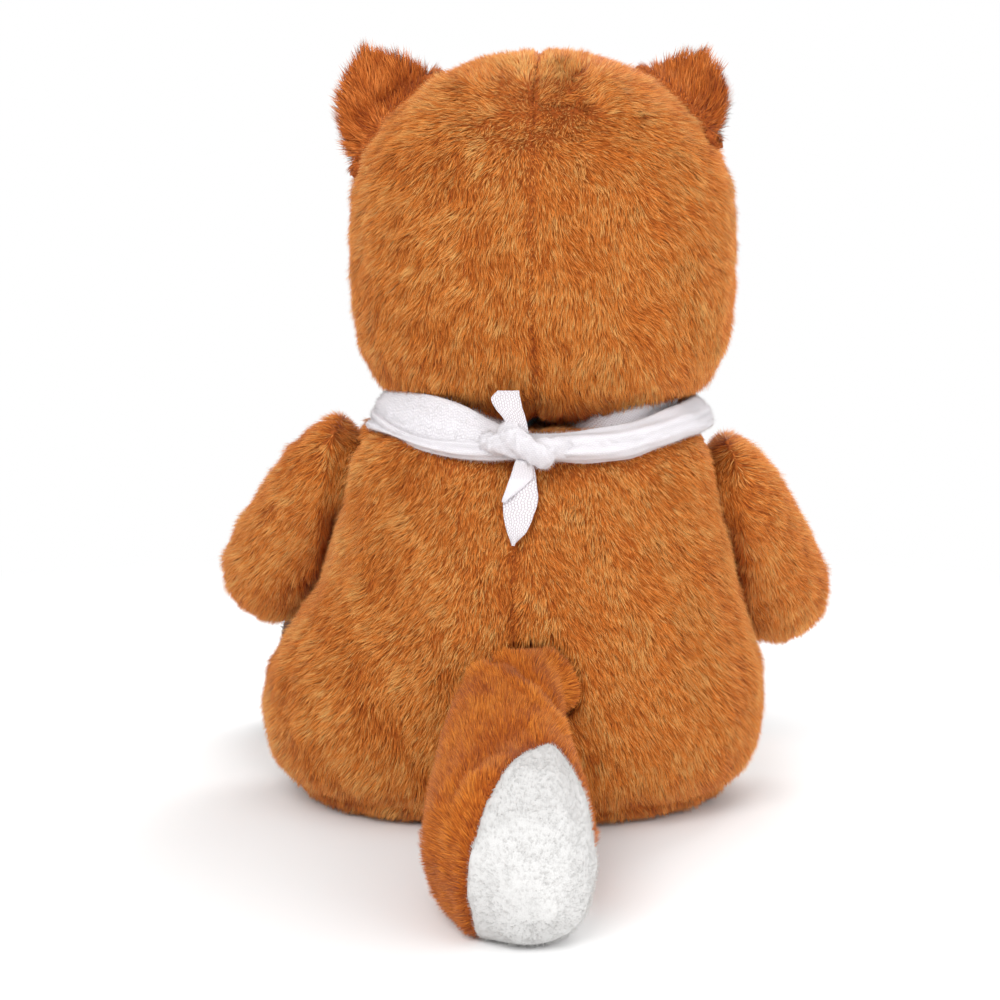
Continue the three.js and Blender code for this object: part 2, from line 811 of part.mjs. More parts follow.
function buildArm(name) {
  const limb = arms[name];
  const { cover, core } = limbPieces(limb);
  const side = name === 'left' ? left : right;
  const opening = beyond(side.clone().multiplyScalar(-limb.rootRadius / 2), side);
  const group = limbGroup(limb);
  node(`arm_cover_${name}`, cover.intersect(opening), orange, group);
  node(`arm_stuffing_${name}`, core, fibre, group);
}

function buildLeg(name) {
  const { cover, core } = limbPieces(legs[name]);
  const ankle = -legReach + footLength;
  const sole = -legReach + soleThickness;
  const behind = (place) => beyond(vector(0, place + clearance / 2, 0), back);
  const before = (place) => beyond(vector(0, place - clearance / 2, 0), front);
  const group = limbGroup(legs[name]);
  node(`leg_cover_${name}`, cover.intersect(behind(ankle)), orange, group);
  node(`foot_cover_${name}`, cover.intersect(before(ankle)).intersect(behind(sole)), darkBrown, group);
  node(`sole_pad_${name}`, cover.intersect(before(sole)), darkBrown, group);
  node(`leg_stuffing_${name}`, core, fibre, group);
}

function buildTail() {
  const { cover, core } = limbPieces(tailLimb);
  const place = ([x, y]) => new THREE.Vector2(x, y).multiplyScalar(tailLength);
  const seam = tailSeamShares.map(place);
  const outline = new THREE.Shape();
  outline.moveTo(seam[0].x, seam[0].y);
  outline.splineThru(seam.slice(1));
  tailEndShares.map(place).forEach((point) => outline.lineTo(point.x, point.y));
  outline.closePath();
  const whiteSide = (gap) => {
    const geometry = new THREE.ExtrudeGeometry(outline, {
      depth: overrun,
      bevelEnabled: gap > 0,
      bevelThickness: gap,
      bevelSize: gap,
      bevelSegments: 1,
      curveSegments: curveSteps,
    });
    return solid(geometry, new THREE.Matrix4().makeTranslation(0, 0, -overrun / 2));
  };
  const group = limbGroup(tailLimb);
  node('tail_cover', cover.subtract(whiteSide(clearance)), orange, group);
  node('tail_tip', cover.intersect(whiteSide(0)), cream, group);
  node('tail_stuffing', core, fibre, group);
}

// What turns with the head, over its whole range
const belowNeck = moved(beyond(vector(0, 0, -clearance / 2), down), head.matrixWorld);
const headMass = uprightForm(headShape, -turningGap).intersect(aboveNeck);
const headSpace = moved(
  unite([-headSwing, -headSwing / 2, 0, headSwing / 2, headSwing].map(
    (angle) => moved(headMass, new THREE.Matrix4().makeRotationZ(angle)))),
  head.matrixWorld);

function buildBody() {
  const aboveFloor = beyond(vector(0, 0, 0), up);
  const wallAndBase = bodyOuter.subtract(bodyInner).intersect(aboveFloor);
  const shell = wallAndBase.intersect(belowNeck).subtract(limbDimples);
  const wall = shell.intersect(beyond(vector(0, 0, seatPanelHeight + clearance / 2), up));
  const rear = wall.intersect(beyond(vector(0, -sideSeamForward + clearance / 2, 0), back));
  const seat = shell.intersect(beyond(vector(0, 0, seatPanelHeight - clearance / 2), down));
  node('seat_panel', seat, orange, fox);
  node('body_back_left', rear.intersect(beyond(vector(clearance / 2, 0, 0), left)), orange, fox);
  node('body_back_right', rear.intersect(beyond(vector(-clearance / 2, 0, 0), right)), orange, fox);
  const belly = wall.intersect(beyond(vector(0, -sideSeamForward - clearance / 2, 0), front));
  node('belly_panel', belly, cream, fox);

  const bagLevel = coverThickness + 2 * clearance;
  const bagCentre = vector(0, 0, bagLevel + pelletBagHeight * bagSetShare);
  const bagShape = (gap) => ellipsoid(
    bagCentre, pelletBagWidth + 2 * gap, pelletBagWidth + 2 * gap, pelletBagHeight + 2 * gap);
  const bagFloor = beyond(vector(0, 0, bagLevel), up);
  node('pellet_bag', bagShape(0).intersect(bagFloor), cloth, fox);
  const stuffing = bodyCore.intersect(belowNeck).subtract(limbDimples)
    .subtract(bagShape(clearance)).intersect(beyond(vector(0, 0, bagLevel - clearance), up));
  node('body_stuffing', stuffing, fibre, fox);
}

// Neckerchief

// A thin layer laid on the body inside an outline that is cut through it along Y
function layer(outline, facing) {
  const block = new THREE.ExtrudeGeometry(outline, {
    depth: bodyDepth,
    bevelEnabled: false,
    curveSegments: curveSteps,
  });
  block.rotateX(Math.PI / 2);
  block.translate(0, facing.y > 0 ? bodyDepth : 0, 0);
  const outer = uprightForm(bodyShape, -clearance - scarfThickness);
  return outer.subtract(bodyGrown).intersect(solid(block));
}

function bandRing() {
  const centre = vector(-headShift, 0, bodyHeight - scarfBandHeight * bandDropShare);
  const rings = largeSides + bandSides;
  const points = [];
  const faces = [];
  for (let ring = 0; ring < rings; ring += 1) {
    const angle = (ring / rings) * 2 * Math.PI;
    const outward = vector(Math.cos(angle), Math.sin(angle), 0);
    const place = centre.clone().add(vector(
      scarfRadius * Math.cos(angle), scarfRadiusDepth * Math.sin(angle),
      -scarfBandHeight * bandSagShare * Math.abs(Math.sin(angle))));
    const lobe = 1 + lobeShare * Math.max(0, Math.cos(angle - lobeFacing));
    for (let step = 0; step < bandSides; step += 1) {
      const turn = (step / bandSides) * 2 * Math.PI;
      const point = place.clone()
        .addScaledVector(outward, (scarfBandWidth / 2) * Math.cos(turn))
        .addScaledVector(up, (scarfBandHeight / 2) * lobe * Math.sin(turn));
      points.push(point);
      const nextRing = (ring + 1) % rings;
      const nextStep = (step + 1) % bandSides;
      const here = ring * bandSides + step;
      const over = ring * bandSides + nextStep;
      const along = nextRing * bandSides + step;
      const across = nextRing * bandSides + nextStep;
      faces.push(here, across, over, here, along, across);
    }
  }
  const geometry = new THREE.BufferGeometry().setFromPoints(points);
  geometry.setIndex(faces);
  return solid(geometry);
}

function buildNeckerchief() {
  const top = bodyHeight;
  const bib = new THREE.Shape();
  bib.moveTo(-headShift - bibWidth / 2, top);
  bib.lineTo(-headShift, top - bibDrop);
  bib.lineTo(-headShift + bibWidth / 2, top);
  bib.closePath();
  const knotAt = vector(
    -knotShift, scarfRadiusDepth + scarfBandWidth * knotSetShare, top - scarfBandHeight * knotDropShare);
  const leaf = new THREE.Shape();
  leaf.moveTo(knotAt.x, knotAt.z);
  leafShares.forEach(([across, along]) => leaf.lineTo(
    knotAt.x + lowerEndWidth * across, knotAt.z + (knotHeight / 2 + lowerEndLength) * along));
  leaf.closePath();
  const strapPlace = new THREE.Matrix4().makeTranslation(
    knotAt.x + upperEndWidth / 2, knotAt.y + scarfThickness, knotAt.z + upperEndLength / 2);
  const strap = solid(new THREE.BoxGeometry(upperEndWidth, scarfThickness, upperEndLength), strapPlace);
  const cloths = unite([
    bandRing(),
    layer(bib, front),
    layer(leaf, back),
    ellipsoid(knotAt, knotWidth, scarfBandWidth * knotDepthShare, knotHeight),
    strap,
  ]);
  node('neckerchief', cloths.subtract(bodyGrown).subtract(headSpace).subtract(limbDimples), cloth, fox);
}

buildBody();
buildHead();
['left', 'right'].forEach(buildArm);
['left', 'right'].forEach(buildLeg);
buildTail();
buildNeckerchief();

export default fox;
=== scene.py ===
"""The looks of a seated plush fox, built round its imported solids.

Every cover gets a smooth skin and a pile of short strands that root in it, combed the way the pile lies.
Lengths are in metres. The fox looks along -Y, so its back, its tail and the cloth's knot are at +Y.
"""

import json
import math

import bmesh
import bpy
import numpy as np
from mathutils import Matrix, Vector
from mathutils.bvhtree import BVHTree


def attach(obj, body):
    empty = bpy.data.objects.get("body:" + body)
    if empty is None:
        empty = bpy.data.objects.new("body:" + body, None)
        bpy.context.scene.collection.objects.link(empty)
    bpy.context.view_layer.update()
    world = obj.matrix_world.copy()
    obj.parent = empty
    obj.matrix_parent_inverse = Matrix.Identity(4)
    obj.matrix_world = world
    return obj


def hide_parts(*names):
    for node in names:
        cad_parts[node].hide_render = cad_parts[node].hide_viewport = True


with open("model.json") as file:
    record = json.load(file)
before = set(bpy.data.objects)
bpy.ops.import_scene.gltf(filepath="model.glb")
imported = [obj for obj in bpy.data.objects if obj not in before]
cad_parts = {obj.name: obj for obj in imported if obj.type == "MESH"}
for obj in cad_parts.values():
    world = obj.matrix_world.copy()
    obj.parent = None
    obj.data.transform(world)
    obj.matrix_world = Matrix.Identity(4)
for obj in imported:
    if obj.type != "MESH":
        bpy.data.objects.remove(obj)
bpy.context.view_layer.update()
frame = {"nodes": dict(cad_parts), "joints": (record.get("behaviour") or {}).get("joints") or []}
nodes = frame["nodes"]

MM = 0.001
SEED = 11

# Camera, at the photograph's viewing angle
CAMERA_PLACE = Vector((0.005, 0.930, 0.240))
CAMERA_PITCH = math.radians(7.68)
CAMERA_LENS = 86.98

# Skins: size of their quads, thickness, rounds and strengths of fairing, and gap to the ground
VOXEL = 2.8 * MM
FINE_VOXEL = 1.5 * MM
MUZZLE_VOXEL = 2.2 * MM
BACKING = 0.8 * MM
FAIRING = 24
LIMB_FAIRING = 80
MUZZLE_FAIRING = 120
FINE_FAIRING = 8
FAIR_IN = 0.6
FAIR_OUT = 0.62
FLOOR_GAP = 0.4 * MM
STUFFING_FAIRING = 6
STUFFING_WAVE = 5

# Undersides on the ground are flat: slope, highest level and depth
FLAT_SLOPE = (0.5, 0.9)
FLAT_LEVEL = 6 * MM
FLAT_DEPTH = 1.2 * MM

# Forms sewn into others: where they start to rise, how far, and the pile that they lose
BURY_REACH = (0.8 * MM, 3.5 * MM)
BURY_RISE = 3.0 * MM
BURY_TRIM = 0.9

# Seams and folds, with painted shade along seams and folds and painted light along ridges
SEAM_DEPTH = 1.1 * MM
SEAM_SHADE = 0.24
SEAM_EDGE = 0.2 * MM
SEAM_REACH = 3.2 * MM
SEAM_LENGTH = 0.45
EDGE_WRAP = 3.0 * MM
CREASE_SHADE = 0.22

# Strands: least share of their length that grows, widths over which they wander, spreads, and shape
LEAST_TRIM = 0.05
WIDE_WAVE = 34 * MM
NARROW_WAVE = 11 * MM
LENGTH_SPREAD = (0.72, 1.12)
LENGTH_WAVE = 0.08
WIDTH_SPREAD = (0.7, 1.2)
RISE_SPREAD = 7
RISE_WAVE = 5
STRAND_ARCH = 1.2
ROOT_V = 0.02

# Clumps: size, warp of their edges and its width, and how far their strands lean together
CLUMP = 2.1 * MM
CLUMP_WARP = 1.1 * MM
CLUMP_WAVE = 6 * MM
CLUMP_PULL = (0.2, 0.6)

# Spread and lean of a strand's normal, how its tone varies, and how patchy the seams' shade is
NORMAL_SPREAD = 0.28
NORMAL_LEAN = 0.12
TONE_SPREAD = 0.006
TONE_WIDE = 0.06
TONE_NARROW = 0.05
TONE_CLUMP = 0.13
TONE_STRAND = 0.22
PATCH_WAVE = 24 * MM
PATCH_MEAN = 0.75
PATCH_SPREAD = 0.45
PATCH_RANGE = (0.2, 1.5)

# The head's crown: its place, its whorl, and by how many degrees the pile stands up there, which makes
# it shorter and gives it painted light
CROWN = np.array([-0.0065, 0.030, 0.272])
WHORL_REACH = (8 * MM, 48 * MM)
WHORL_WAVE = 26 * MM
WHORL_SHARE = 0.6
HEAD_DROP = np.array((0, 0, -0.4))
CROWN_STAND = 26
STAND_REACH = (8 * MM, 46 * MM)
STAND_TRIM = 120
STAND_PAINTED_LIGHT = 200

# The back's pile slants outwards, in full at this width
SLANT = 0.55
SLANT_WIDTH = 0.09

# How far the eyes and the nose are pressed in, and the mouth's thread stands out
EYE_PRESS = 1.8 * MM
NOSE_PRESS = 1.6 * MM
STITCH_LIFT = 0.3 * MM

# A strand's painted shade half way up and its sheen, and the spread, scale and height of the backings' grain
HALF_WAY_SHADE = (0.95, 0.93, 0.91)
STRAND_SHEEN = {
    "Roughness": 0.62, "Specular IOR Level": 0.15, "Sheen Weight": 0.05, "Sheen Roughness": 0.5,
}
NAP = (0.025, 1500, 0.12 * MM)
KNITTED_BACKING = (0.2, 900, 0.4 * MM)
WHITEST = 0.98
GRAIN_ROUGHNESS = 0.55

# Each finish: material slot, pile length and width, strands per square metre, height of the pile over its
# skin, the strands' rise in degrees and how much they stray, three colours, the backing's colour, which
# holds painted shade deep in the pile, and the painted shade at a strand's root
FINISH_PARTS = "slot length width density height rise mess dark middle light backing root".split()
FINISH_TABLE = {
    "orange": (
        "orange_plush", 4.9 * MM, 0.34 * MM, 3.6e6, 2.6 * MM, 34, 0.9,
        (0.48, 0.098, 0.008), (0.9, 0.27, 0.04), (1, 0.54, 0.17), (0.4, 0.092, 0.01), (0.48, 0.35, 0.26)),
    "tail": (
        "orange_plush", 3.6 * MM, 0.34 * MM, 4.0e6, 2.2 * MM, 44, 0.6,
        (0.36, 0.068, 0.005), (0.65, 0.158, 0.013), (0.95, 0.325, 0.046), (0.42, 0.095, 0.008),
        (0.66, 0.54, 0.42)),
    "tip": (
        "white_plush", 1.8 * MM, 0.18 * MM, 1.1e6, 1.2 * MM, 48, 0.05,
        (0.66, 0.653, 0.643), (0.68, 0.673, 0.663), (0.7, 0.693, 0.683), (0.665, 0.658, 0.648),
        (0.99, 0.99, 0.99)),
    "ear": (
        "ear_plush", 6.4 * MM, 0.42 * MM, 2.8e6, 2.6 * MM, 32, 1,
        (0.32, 0.058, 0.006), (0.63, 0.152, 0.018), (0.93, 0.31, 0.07), (0.42, 0.095, 0.012),
        (0.55, 0.42, 0.34)),
    "cream": (
        "white_plush", 5.2 * MM, 0.42 * MM, 2.0e6, 2.4 * MM, 28, 0.7,
        (0.9, 0.85, 0.76), (0.95, 0.92, 0.86), (0.98, 0.965, 0.93), (0.92, 0.88, 0.8), (0.97, 0.95, 0.92)),
    "white": (
        "white_plush", 3.2 * MM, 0.32 * MM, 2.6e6, 1.9 * MM, 34, 0.5,
        (0.895, 0.878, 0.85), (0.93, 0.917, 0.895), (0.96, 0.952, 0.938), (0.89, 0.87, 0.84),
        (0.98, 0.97, 0.96)),
    "muzzle": (
        "white_plush", 2.3 * MM, 0.24 * MM, 3.4e6, 1.2 * MM, 36, 0.4,
        (0.8, 0.788, 0.768), (0.84, 0.828, 0.81), (0.88, 0.87, 0.855), (0.79, 0.776, 0.758),
        (0.97, 0.97, 0.96)),
    "brown": (
        "dark_plush", 4.0 * MM, 0.38 * MM, 2.2e6, 1.9 * MM, 28, 0.7,
        (0.04, 0.014, 0.008), (0.095, 0.035, 0.02), (0.19, 0.085, 0.05), (0.035, 0.012, 0.007),
        (0.6, 0.55, 0.5)),
    "sole": (
        "dark_plush", 2.0 * MM, 0.30 * MM, 2.8e6, 1.0 * MM, 34, 0.5,
        (0.045, 0.017, 0.01), (0.1, 0.04, 0.024), (0.18, 0.085, 0.052), (0.04, 0.015, 0.009),
        (0.6, 0.55, 0.5)),
}
FINISHES = {name: dict(zip(FINISH_PARTS, row)) for name, row in FINISH_TABLE.items()}
# Finishes whose backing is a soft nap that shows
SOFT_FINISHES = ("tip", "muzzle")

rng = np.random.default_rng(SEED)


def norms(vectors):
    return np.linalg.norm(vectors, axis=-1)


def unit(vectors):
    """The vectors at length one."""
    return vectors / np.maximum(norms(vectors)[..., None], 1e-12)


def smooth_step(values, low, high):
    """From 0 at low to 1 at high, with soft ends."""
    share = np.clip((values - low) / (high - low), 0, 1)
    return share * share * (3 - 2 * share)


def ripple(wavelength, waves=7):
    """A smooth random field of about unit spread, as a sum of plane waves."""
    directions = unit(rng.normal(size=(waves, 3)))
    pitch = rng.uniform(0.7, 1.4, (waves, 1)) * 2 * math.pi / wavelength
    phases = rng.uniform(0, 2 * math.pi, waves)
    return lambda points: np.sin(points @ (directions * pitch).T + phases).sum(1) / math.sqrt(waves / 2)


# Materials


def fill_in(node, values):
    for socket, value in values.items():
        node.inputs[socket].default_value = value


class Graph:
    """A material's node tree, built with short calls."""

    def __init__(self, name):
        self.material = bpy.data.materials.new(name)
        self.material.use_nodes = True
        self.nodes = self.material.node_tree.nodes
        self.links = self.material.node_tree.links
        self.shader = self.nodes["Principled BSDF"]

    def add(self, kind, inputs=(), **settings):
        node = self.nodes.new(kind)
        for name, value in settings.items():
            setattr(node, name, value)
        fill_in(node, dict(inputs))
        return node

    def join(self, output, target):
        self.links.new(output, target)

    def complete(self, values):
        fill_in(self.shader, values)
        return self.material

    def colour(self, output):
        self.join(output, self.shader.inputs["Base Color"])

    def ramp(self, factor, stops):
        node = self.add("ShaderNodeValToRGB")
        elements = node.color_ramp.elements
        elements[0].position, elements[0].color = stops[0][0], (*stops[0][1], 1)
        elements[1].position, elements[1].color = stops[-1][0], (*stops[-1][1], 1)
        for place, colour in stops[1:-1]:
            elements.new(place).color = (*colour, 1)
        self.join(factor, node.inputs["Fac"])
        return node.outputs["Color"]

    def noise(self, scale, detail):
        values = {"Scale": scale, "Detail": detail, "Roughness": GRAIN_ROUGHNESS}
        node = self.add("ShaderNodeTexNoise", values)
        self.join(self.place(), node.inputs["Vector"])
        return node.outputs["Fac"]

    def place(self):
        return self.add("ShaderNodeTexCoord").outputs["Object"]

    def bump(self, height, distance, strength=1.0):
        node = self.add("ShaderNodeBump", {"Distance": distance, "Strength": strength})
        self.join(height, node.inputs["Height"])
        self.join(node.outputs["Normal"], self.shader.inputs["Normal"])


def pile_material(name, finish):
    """Strands: U picks a strand's tone and V runs from its root to its tip."""
    graph = Graph(f"pile_{name}")
    uv = graph.add("ShaderNodeUVMap", uv_map="OFBake")
    parts = graph.add("ShaderNodeSeparateXYZ")
    graph.join(uv.outputs["UV"], parts.inputs["Vector"])
    tones = [(0.0, finish["dark"]), (0.5, finish["middle"]), (1.0, finish["light"])]
    tone = graph.ramp(parts.outputs["X"], tones)
    # Painted shade that darkens each strand towards its root
    depth = graph.ramp(parts.outputs["Y"], [(0.0, finish["root"]), (0.5, HALF_WAY_SHADE), (1.0, (1, 1, 1))])
    mix = graph.add("ShaderNodeMix", {"Factor": 1.0}, data_type="RGBA", blend_type="MULTIPLY")
    graph.join(tone, mix.inputs["A"])
    graph.join(depth, mix.inputs["B"])
    graph.colour(mix.outputs["Result"])
    return graph.complete(STRAND_SHEEN)


def grained(
    name, low, high, scale, bump, roughness, strength=0.4, specular=0.4, edge=0.3, detail=4.0,
):
    """A surface with a grain between two tones, and small bumps."""
    graph = Graph(name)
    grain = graph.noise(scale, detail)
    graph.colour(graph.ramp(grain, [(edge, low), (1 - edge, high)]))
    graph.bump(grain, bump, strength)
    return graph.complete({"Roughness": roughness, "Specular IOR Level": specular})


def backing_material(name, finish):
    """The knitted backing that the pile roots in, or a soft short nap."""
    spread, scale, bump = NAP if name in SOFT_FINISHES else KNITTED_BACKING
    # The backing's colour holds painted shade of the pile's depths, mostly darker than the strands
    low = tuple((1 - spread) * value for value in finish["backing"])
    high = tuple(min(WHITEST, (1 + spread) * value) for value in finish["backing"])
    return grained(f"backing_{name}", low, high, scale, bump, 0.95, strength=1.0, specular=0.5)


# Skins


class Skin:
    """A closed surface of even quads."""

    def __init__(self, mesh):
        self.points = np.empty(len(mesh.vertices) * 3)
        mesh.vertices.foreach_get("co", self.points)
        self.points = self.points.reshape(-1, 3)
        self.faces = np.array([tuple(face.vertices) for face in mesh.polygons if len(face.vertices) == 4])
        self.keep_largest()
        self.edges = np.unique(np.sort(np.concatenate(
            [self.faces[:, [i, (i + 1) % 4]] for i in range(4)]), axis=1), axis=0)

    def keep_largest(self):
        label = np.arange(len(self.points))
        while True:
            lowest = label[self.faces].min(1)
            fresh = label.copy()
            np.minimum.at(fresh, self.faces.ravel(), np.repeat(lowest, 4))
            if (fresh == label).all():
                break
            label = fresh
        names, counts = np.unique(label[self.faces[:, 0]], return_counts=True)
        self.faces = self.faces[label[self.faces[:, 0]] == names[counts.argmax()]]
        used, back = np.unique(self.faces, return_inverse=True)
        self.points = self.points[used]
        self.faces = back.reshape(-1, 4)

    def relax(self, factor):
        sums = np.zeros_like(self.points)
        counts = np.zeros(len(self.points))
        for a, b in ((0, 1), (1, 0)):
            np.add.at(sums, self.edges[:, a], self.points[self.edges[:, b]])
            np.add.at(counts, self.edges[:, a], 1)
        self.points += factor * (sums / counts[:, None] - self.points)

    def fair(self, rounds):
        """Evens out facets without shrinking the form."""
        for _ in range(rounds):
            self.relax(FAIR_IN)
            self.relax(-FAIR_OUT)

    def normals(self):
        corners = self.points[self.faces]
        across = np.cross(corners[:, 2] - corners[:, 0], corners[:, 3] - corners[:, 1])
        sums = np.zeros_like(self.points)
        np.add.at(sums, self.faces.ravel(), np.repeat(across, 4, axis=0))
        return unit(sums)


def triangles_of(points, faces):
    """Two triangles for each quad, and across each one a vector that is twice as long as its area."""
    triangles = np.concatenate([faces[:, [0, 1, 2]], faces[:, [0, 2, 3]]])
    corners = points[triangles]
    return triangles, np.cross(corners[:, 1] - corners[:, 0], corners[:, 2] - corners[:, 0])


def tree_of(points, faces):
    """A search tree over a mesh."""
    return BVHTree.FromPolygons(
        [Vector(point) for point in points], [tuple(map(int, face)) for face in faces])


def surface_of(*names):
    """A search tree over CAD nodes."""
    points, faces = [], []
    for name in names:
        mesh = nodes[name].data
        start = len(points)
        points += [vertex.co for vertex in mesh.vertices]
        faces += [[start + index for index in face.vertices] for face in mesh.polygons]
    return tree_of(points, faces)


def distances(tree, points):
    """How far each point is from a surface."""
    return np.array([tree.find_nearest(Vector(point))[3] for point in points])


def linked(name, data):
    """A new object in the scene."""
    item = bpy.data.objects.new(name, data)
    bpy.context.scene.collection.objects.link(item)
    return item


def even_mesh(joined, voxel):
    """The surface of a bmesh as even quads."""
    mesh = bpy.data.meshes.new("remesh")
    joined.to_mesh(mesh)
    joined.free()
    holder = linked("remesh", mesh)
    modifier = holder.modifiers.new("voxels", "REMESH")
    modifier.mode = "VOXEL"
    modifier.voxel_size = voxel
    graph = bpy.context.evaluated_depsgraph_get()
    even = bpy.data.meshes.new_from_object(holder.evaluated_get(graph))
    bpy.data.objects.remove(holder)
    bpy.data.meshes.remove(mesh)
    return even


def remeshed(names, voxel, hull=False):
    """The outer surface of some CAD nodes, or of their hull, as even quads."""
    joined = bmesh.new()
    for name in names:
        joined.from_mesh(nodes[name].data)
    if hull:
        result = bmesh.ops.convex_hull(joined, input=joined.verts)
        loose = result["geom_interior"] + result["geom_unused"]
        spare = {item for item in loose if isinstance(item, bmesh.types.BMVert)}
        bmesh.ops.delete(joined, geom=list(spare), context="VERTS")
        outer = set(result["geom"])
        inner = [face for face in joined.faces if face not in outer]
        bmesh.ops.delete(joined, geom=inner, context="FACES_ONLY")
    return even_mesh(joined, voxel)


def piece_of(name, mesh, body):
    """A visible piece that rides on a body."""
    piece = linked(name, mesh)
    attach(piece, body)
    return piece


def object_of(name, points, faces, material, body):
    """A smooth piece from points and faces."""
    mesh = bpy.data.meshes.new(name)
    mesh.from_pydata([tuple(point) for point in points], [], [tuple(map(int, face)) for face in faces])
    mesh.materials.append(material)
    mesh.shade_smooth()
    return piece_of(name, mesh, body)


def thicken(piece, thickness, offset):
    """Gives a surface its thickness, inwards or to both sides."""
    modifier = piece.modifiers.new("thickness", "SOLIDIFY")
    modifier.thickness = thickness
    modifier.offset = offset
    return modifier


def strand_object(name, rows, material, body):
    """Strands as thin three-sided spikes: rows holds roots, tips, sides, tops, widths, normals and tones."""
    roots, tips, sides, tops, widths, facing, tones = rows
    count = len(roots)
    half = widths[:, None] / 2
    crowns = roots + STRAND_ARCH * half * tops
    points = np.stack([roots - half * sides, roots + half * sides, crowns, tips], axis=1)
    points[..., 2] = np.maximum(points[..., 2], FLOOR_GAP)
    loops = 4 * np.arange(count)[:, None] + [0, 3, 1, 1, 3, 2, 2, 3, 0]
    mesh = bpy.data.meshes.new(name)
    mesh.vertices.add(4 * count)
    mesh.vertices.foreach_set("co", points.ravel())
    mesh.loops.add(9 * count)
    mesh.loops.foreach_set("vertex_index", loops.ravel().astype(np.int32))
    mesh.polygons.add(3 * count)
    mesh.polygons.foreach_set("loop_start", (3 * np.arange(3 * count)).astype(np.int32))
    tone = np.clip(tones, 2 * TONE_SPREAD, 1 - 2 * TONE_SPREAD)[:, None]
    across = tone + TONE_SPREAD * np.array([-1, 0, 1, -1, 0, 1, -1, 0, 1])
    along = np.broadcast_to(np.tile([ROOT_V, 1 - ROOT_V, ROOT_V], 3), across.shape)
    layer = mesh.uv_layers.new(name="OFBake")
    layer.data.foreach_set("uv", np.stack([across, along], axis=2).ravel())
    mesh.update(calc_edges=True)
    mesh.shade_smooth()
    mesh.normals_split_custom_set_from_vertices(np.repeat(facing, 4, axis=0))
    mesh.materials.append(material)
    return piece_of(name, mesh, body)


def seam_distance(gaps):
    """How far each point is from the seam between its cover and the next one."""
    if gaps.shape[1] == 1:
        return np.full(len(gaps), np.inf)
    nearest = np.sort(gaps, axis=1)
    return nearest[:, 1] - nearest[:, 0]


def line_distance(points, line):
    """How far each point is from a line through some places."""
    best = np.full(len(points), np.inf)
    for start, end in zip(line, line[1:]):
        way = end - start
        share = np.clip((points - start) @ way / (way @ way), 0, 1)
        best = np.minimum(best, norms(points - start - share[:, None] * way))
    return best


def scatter(areas, count):
    """Triangles picked by their areas, and the weights of a random place in each."""
    pick = rng.choice(len(areas), count, p=areas / areas.sum())
    first, second = np.sqrt(rng.random(count)), rng.random(count)
    return pick, np.stack([1 - first, first * (1 - second), first * second], axis=1)


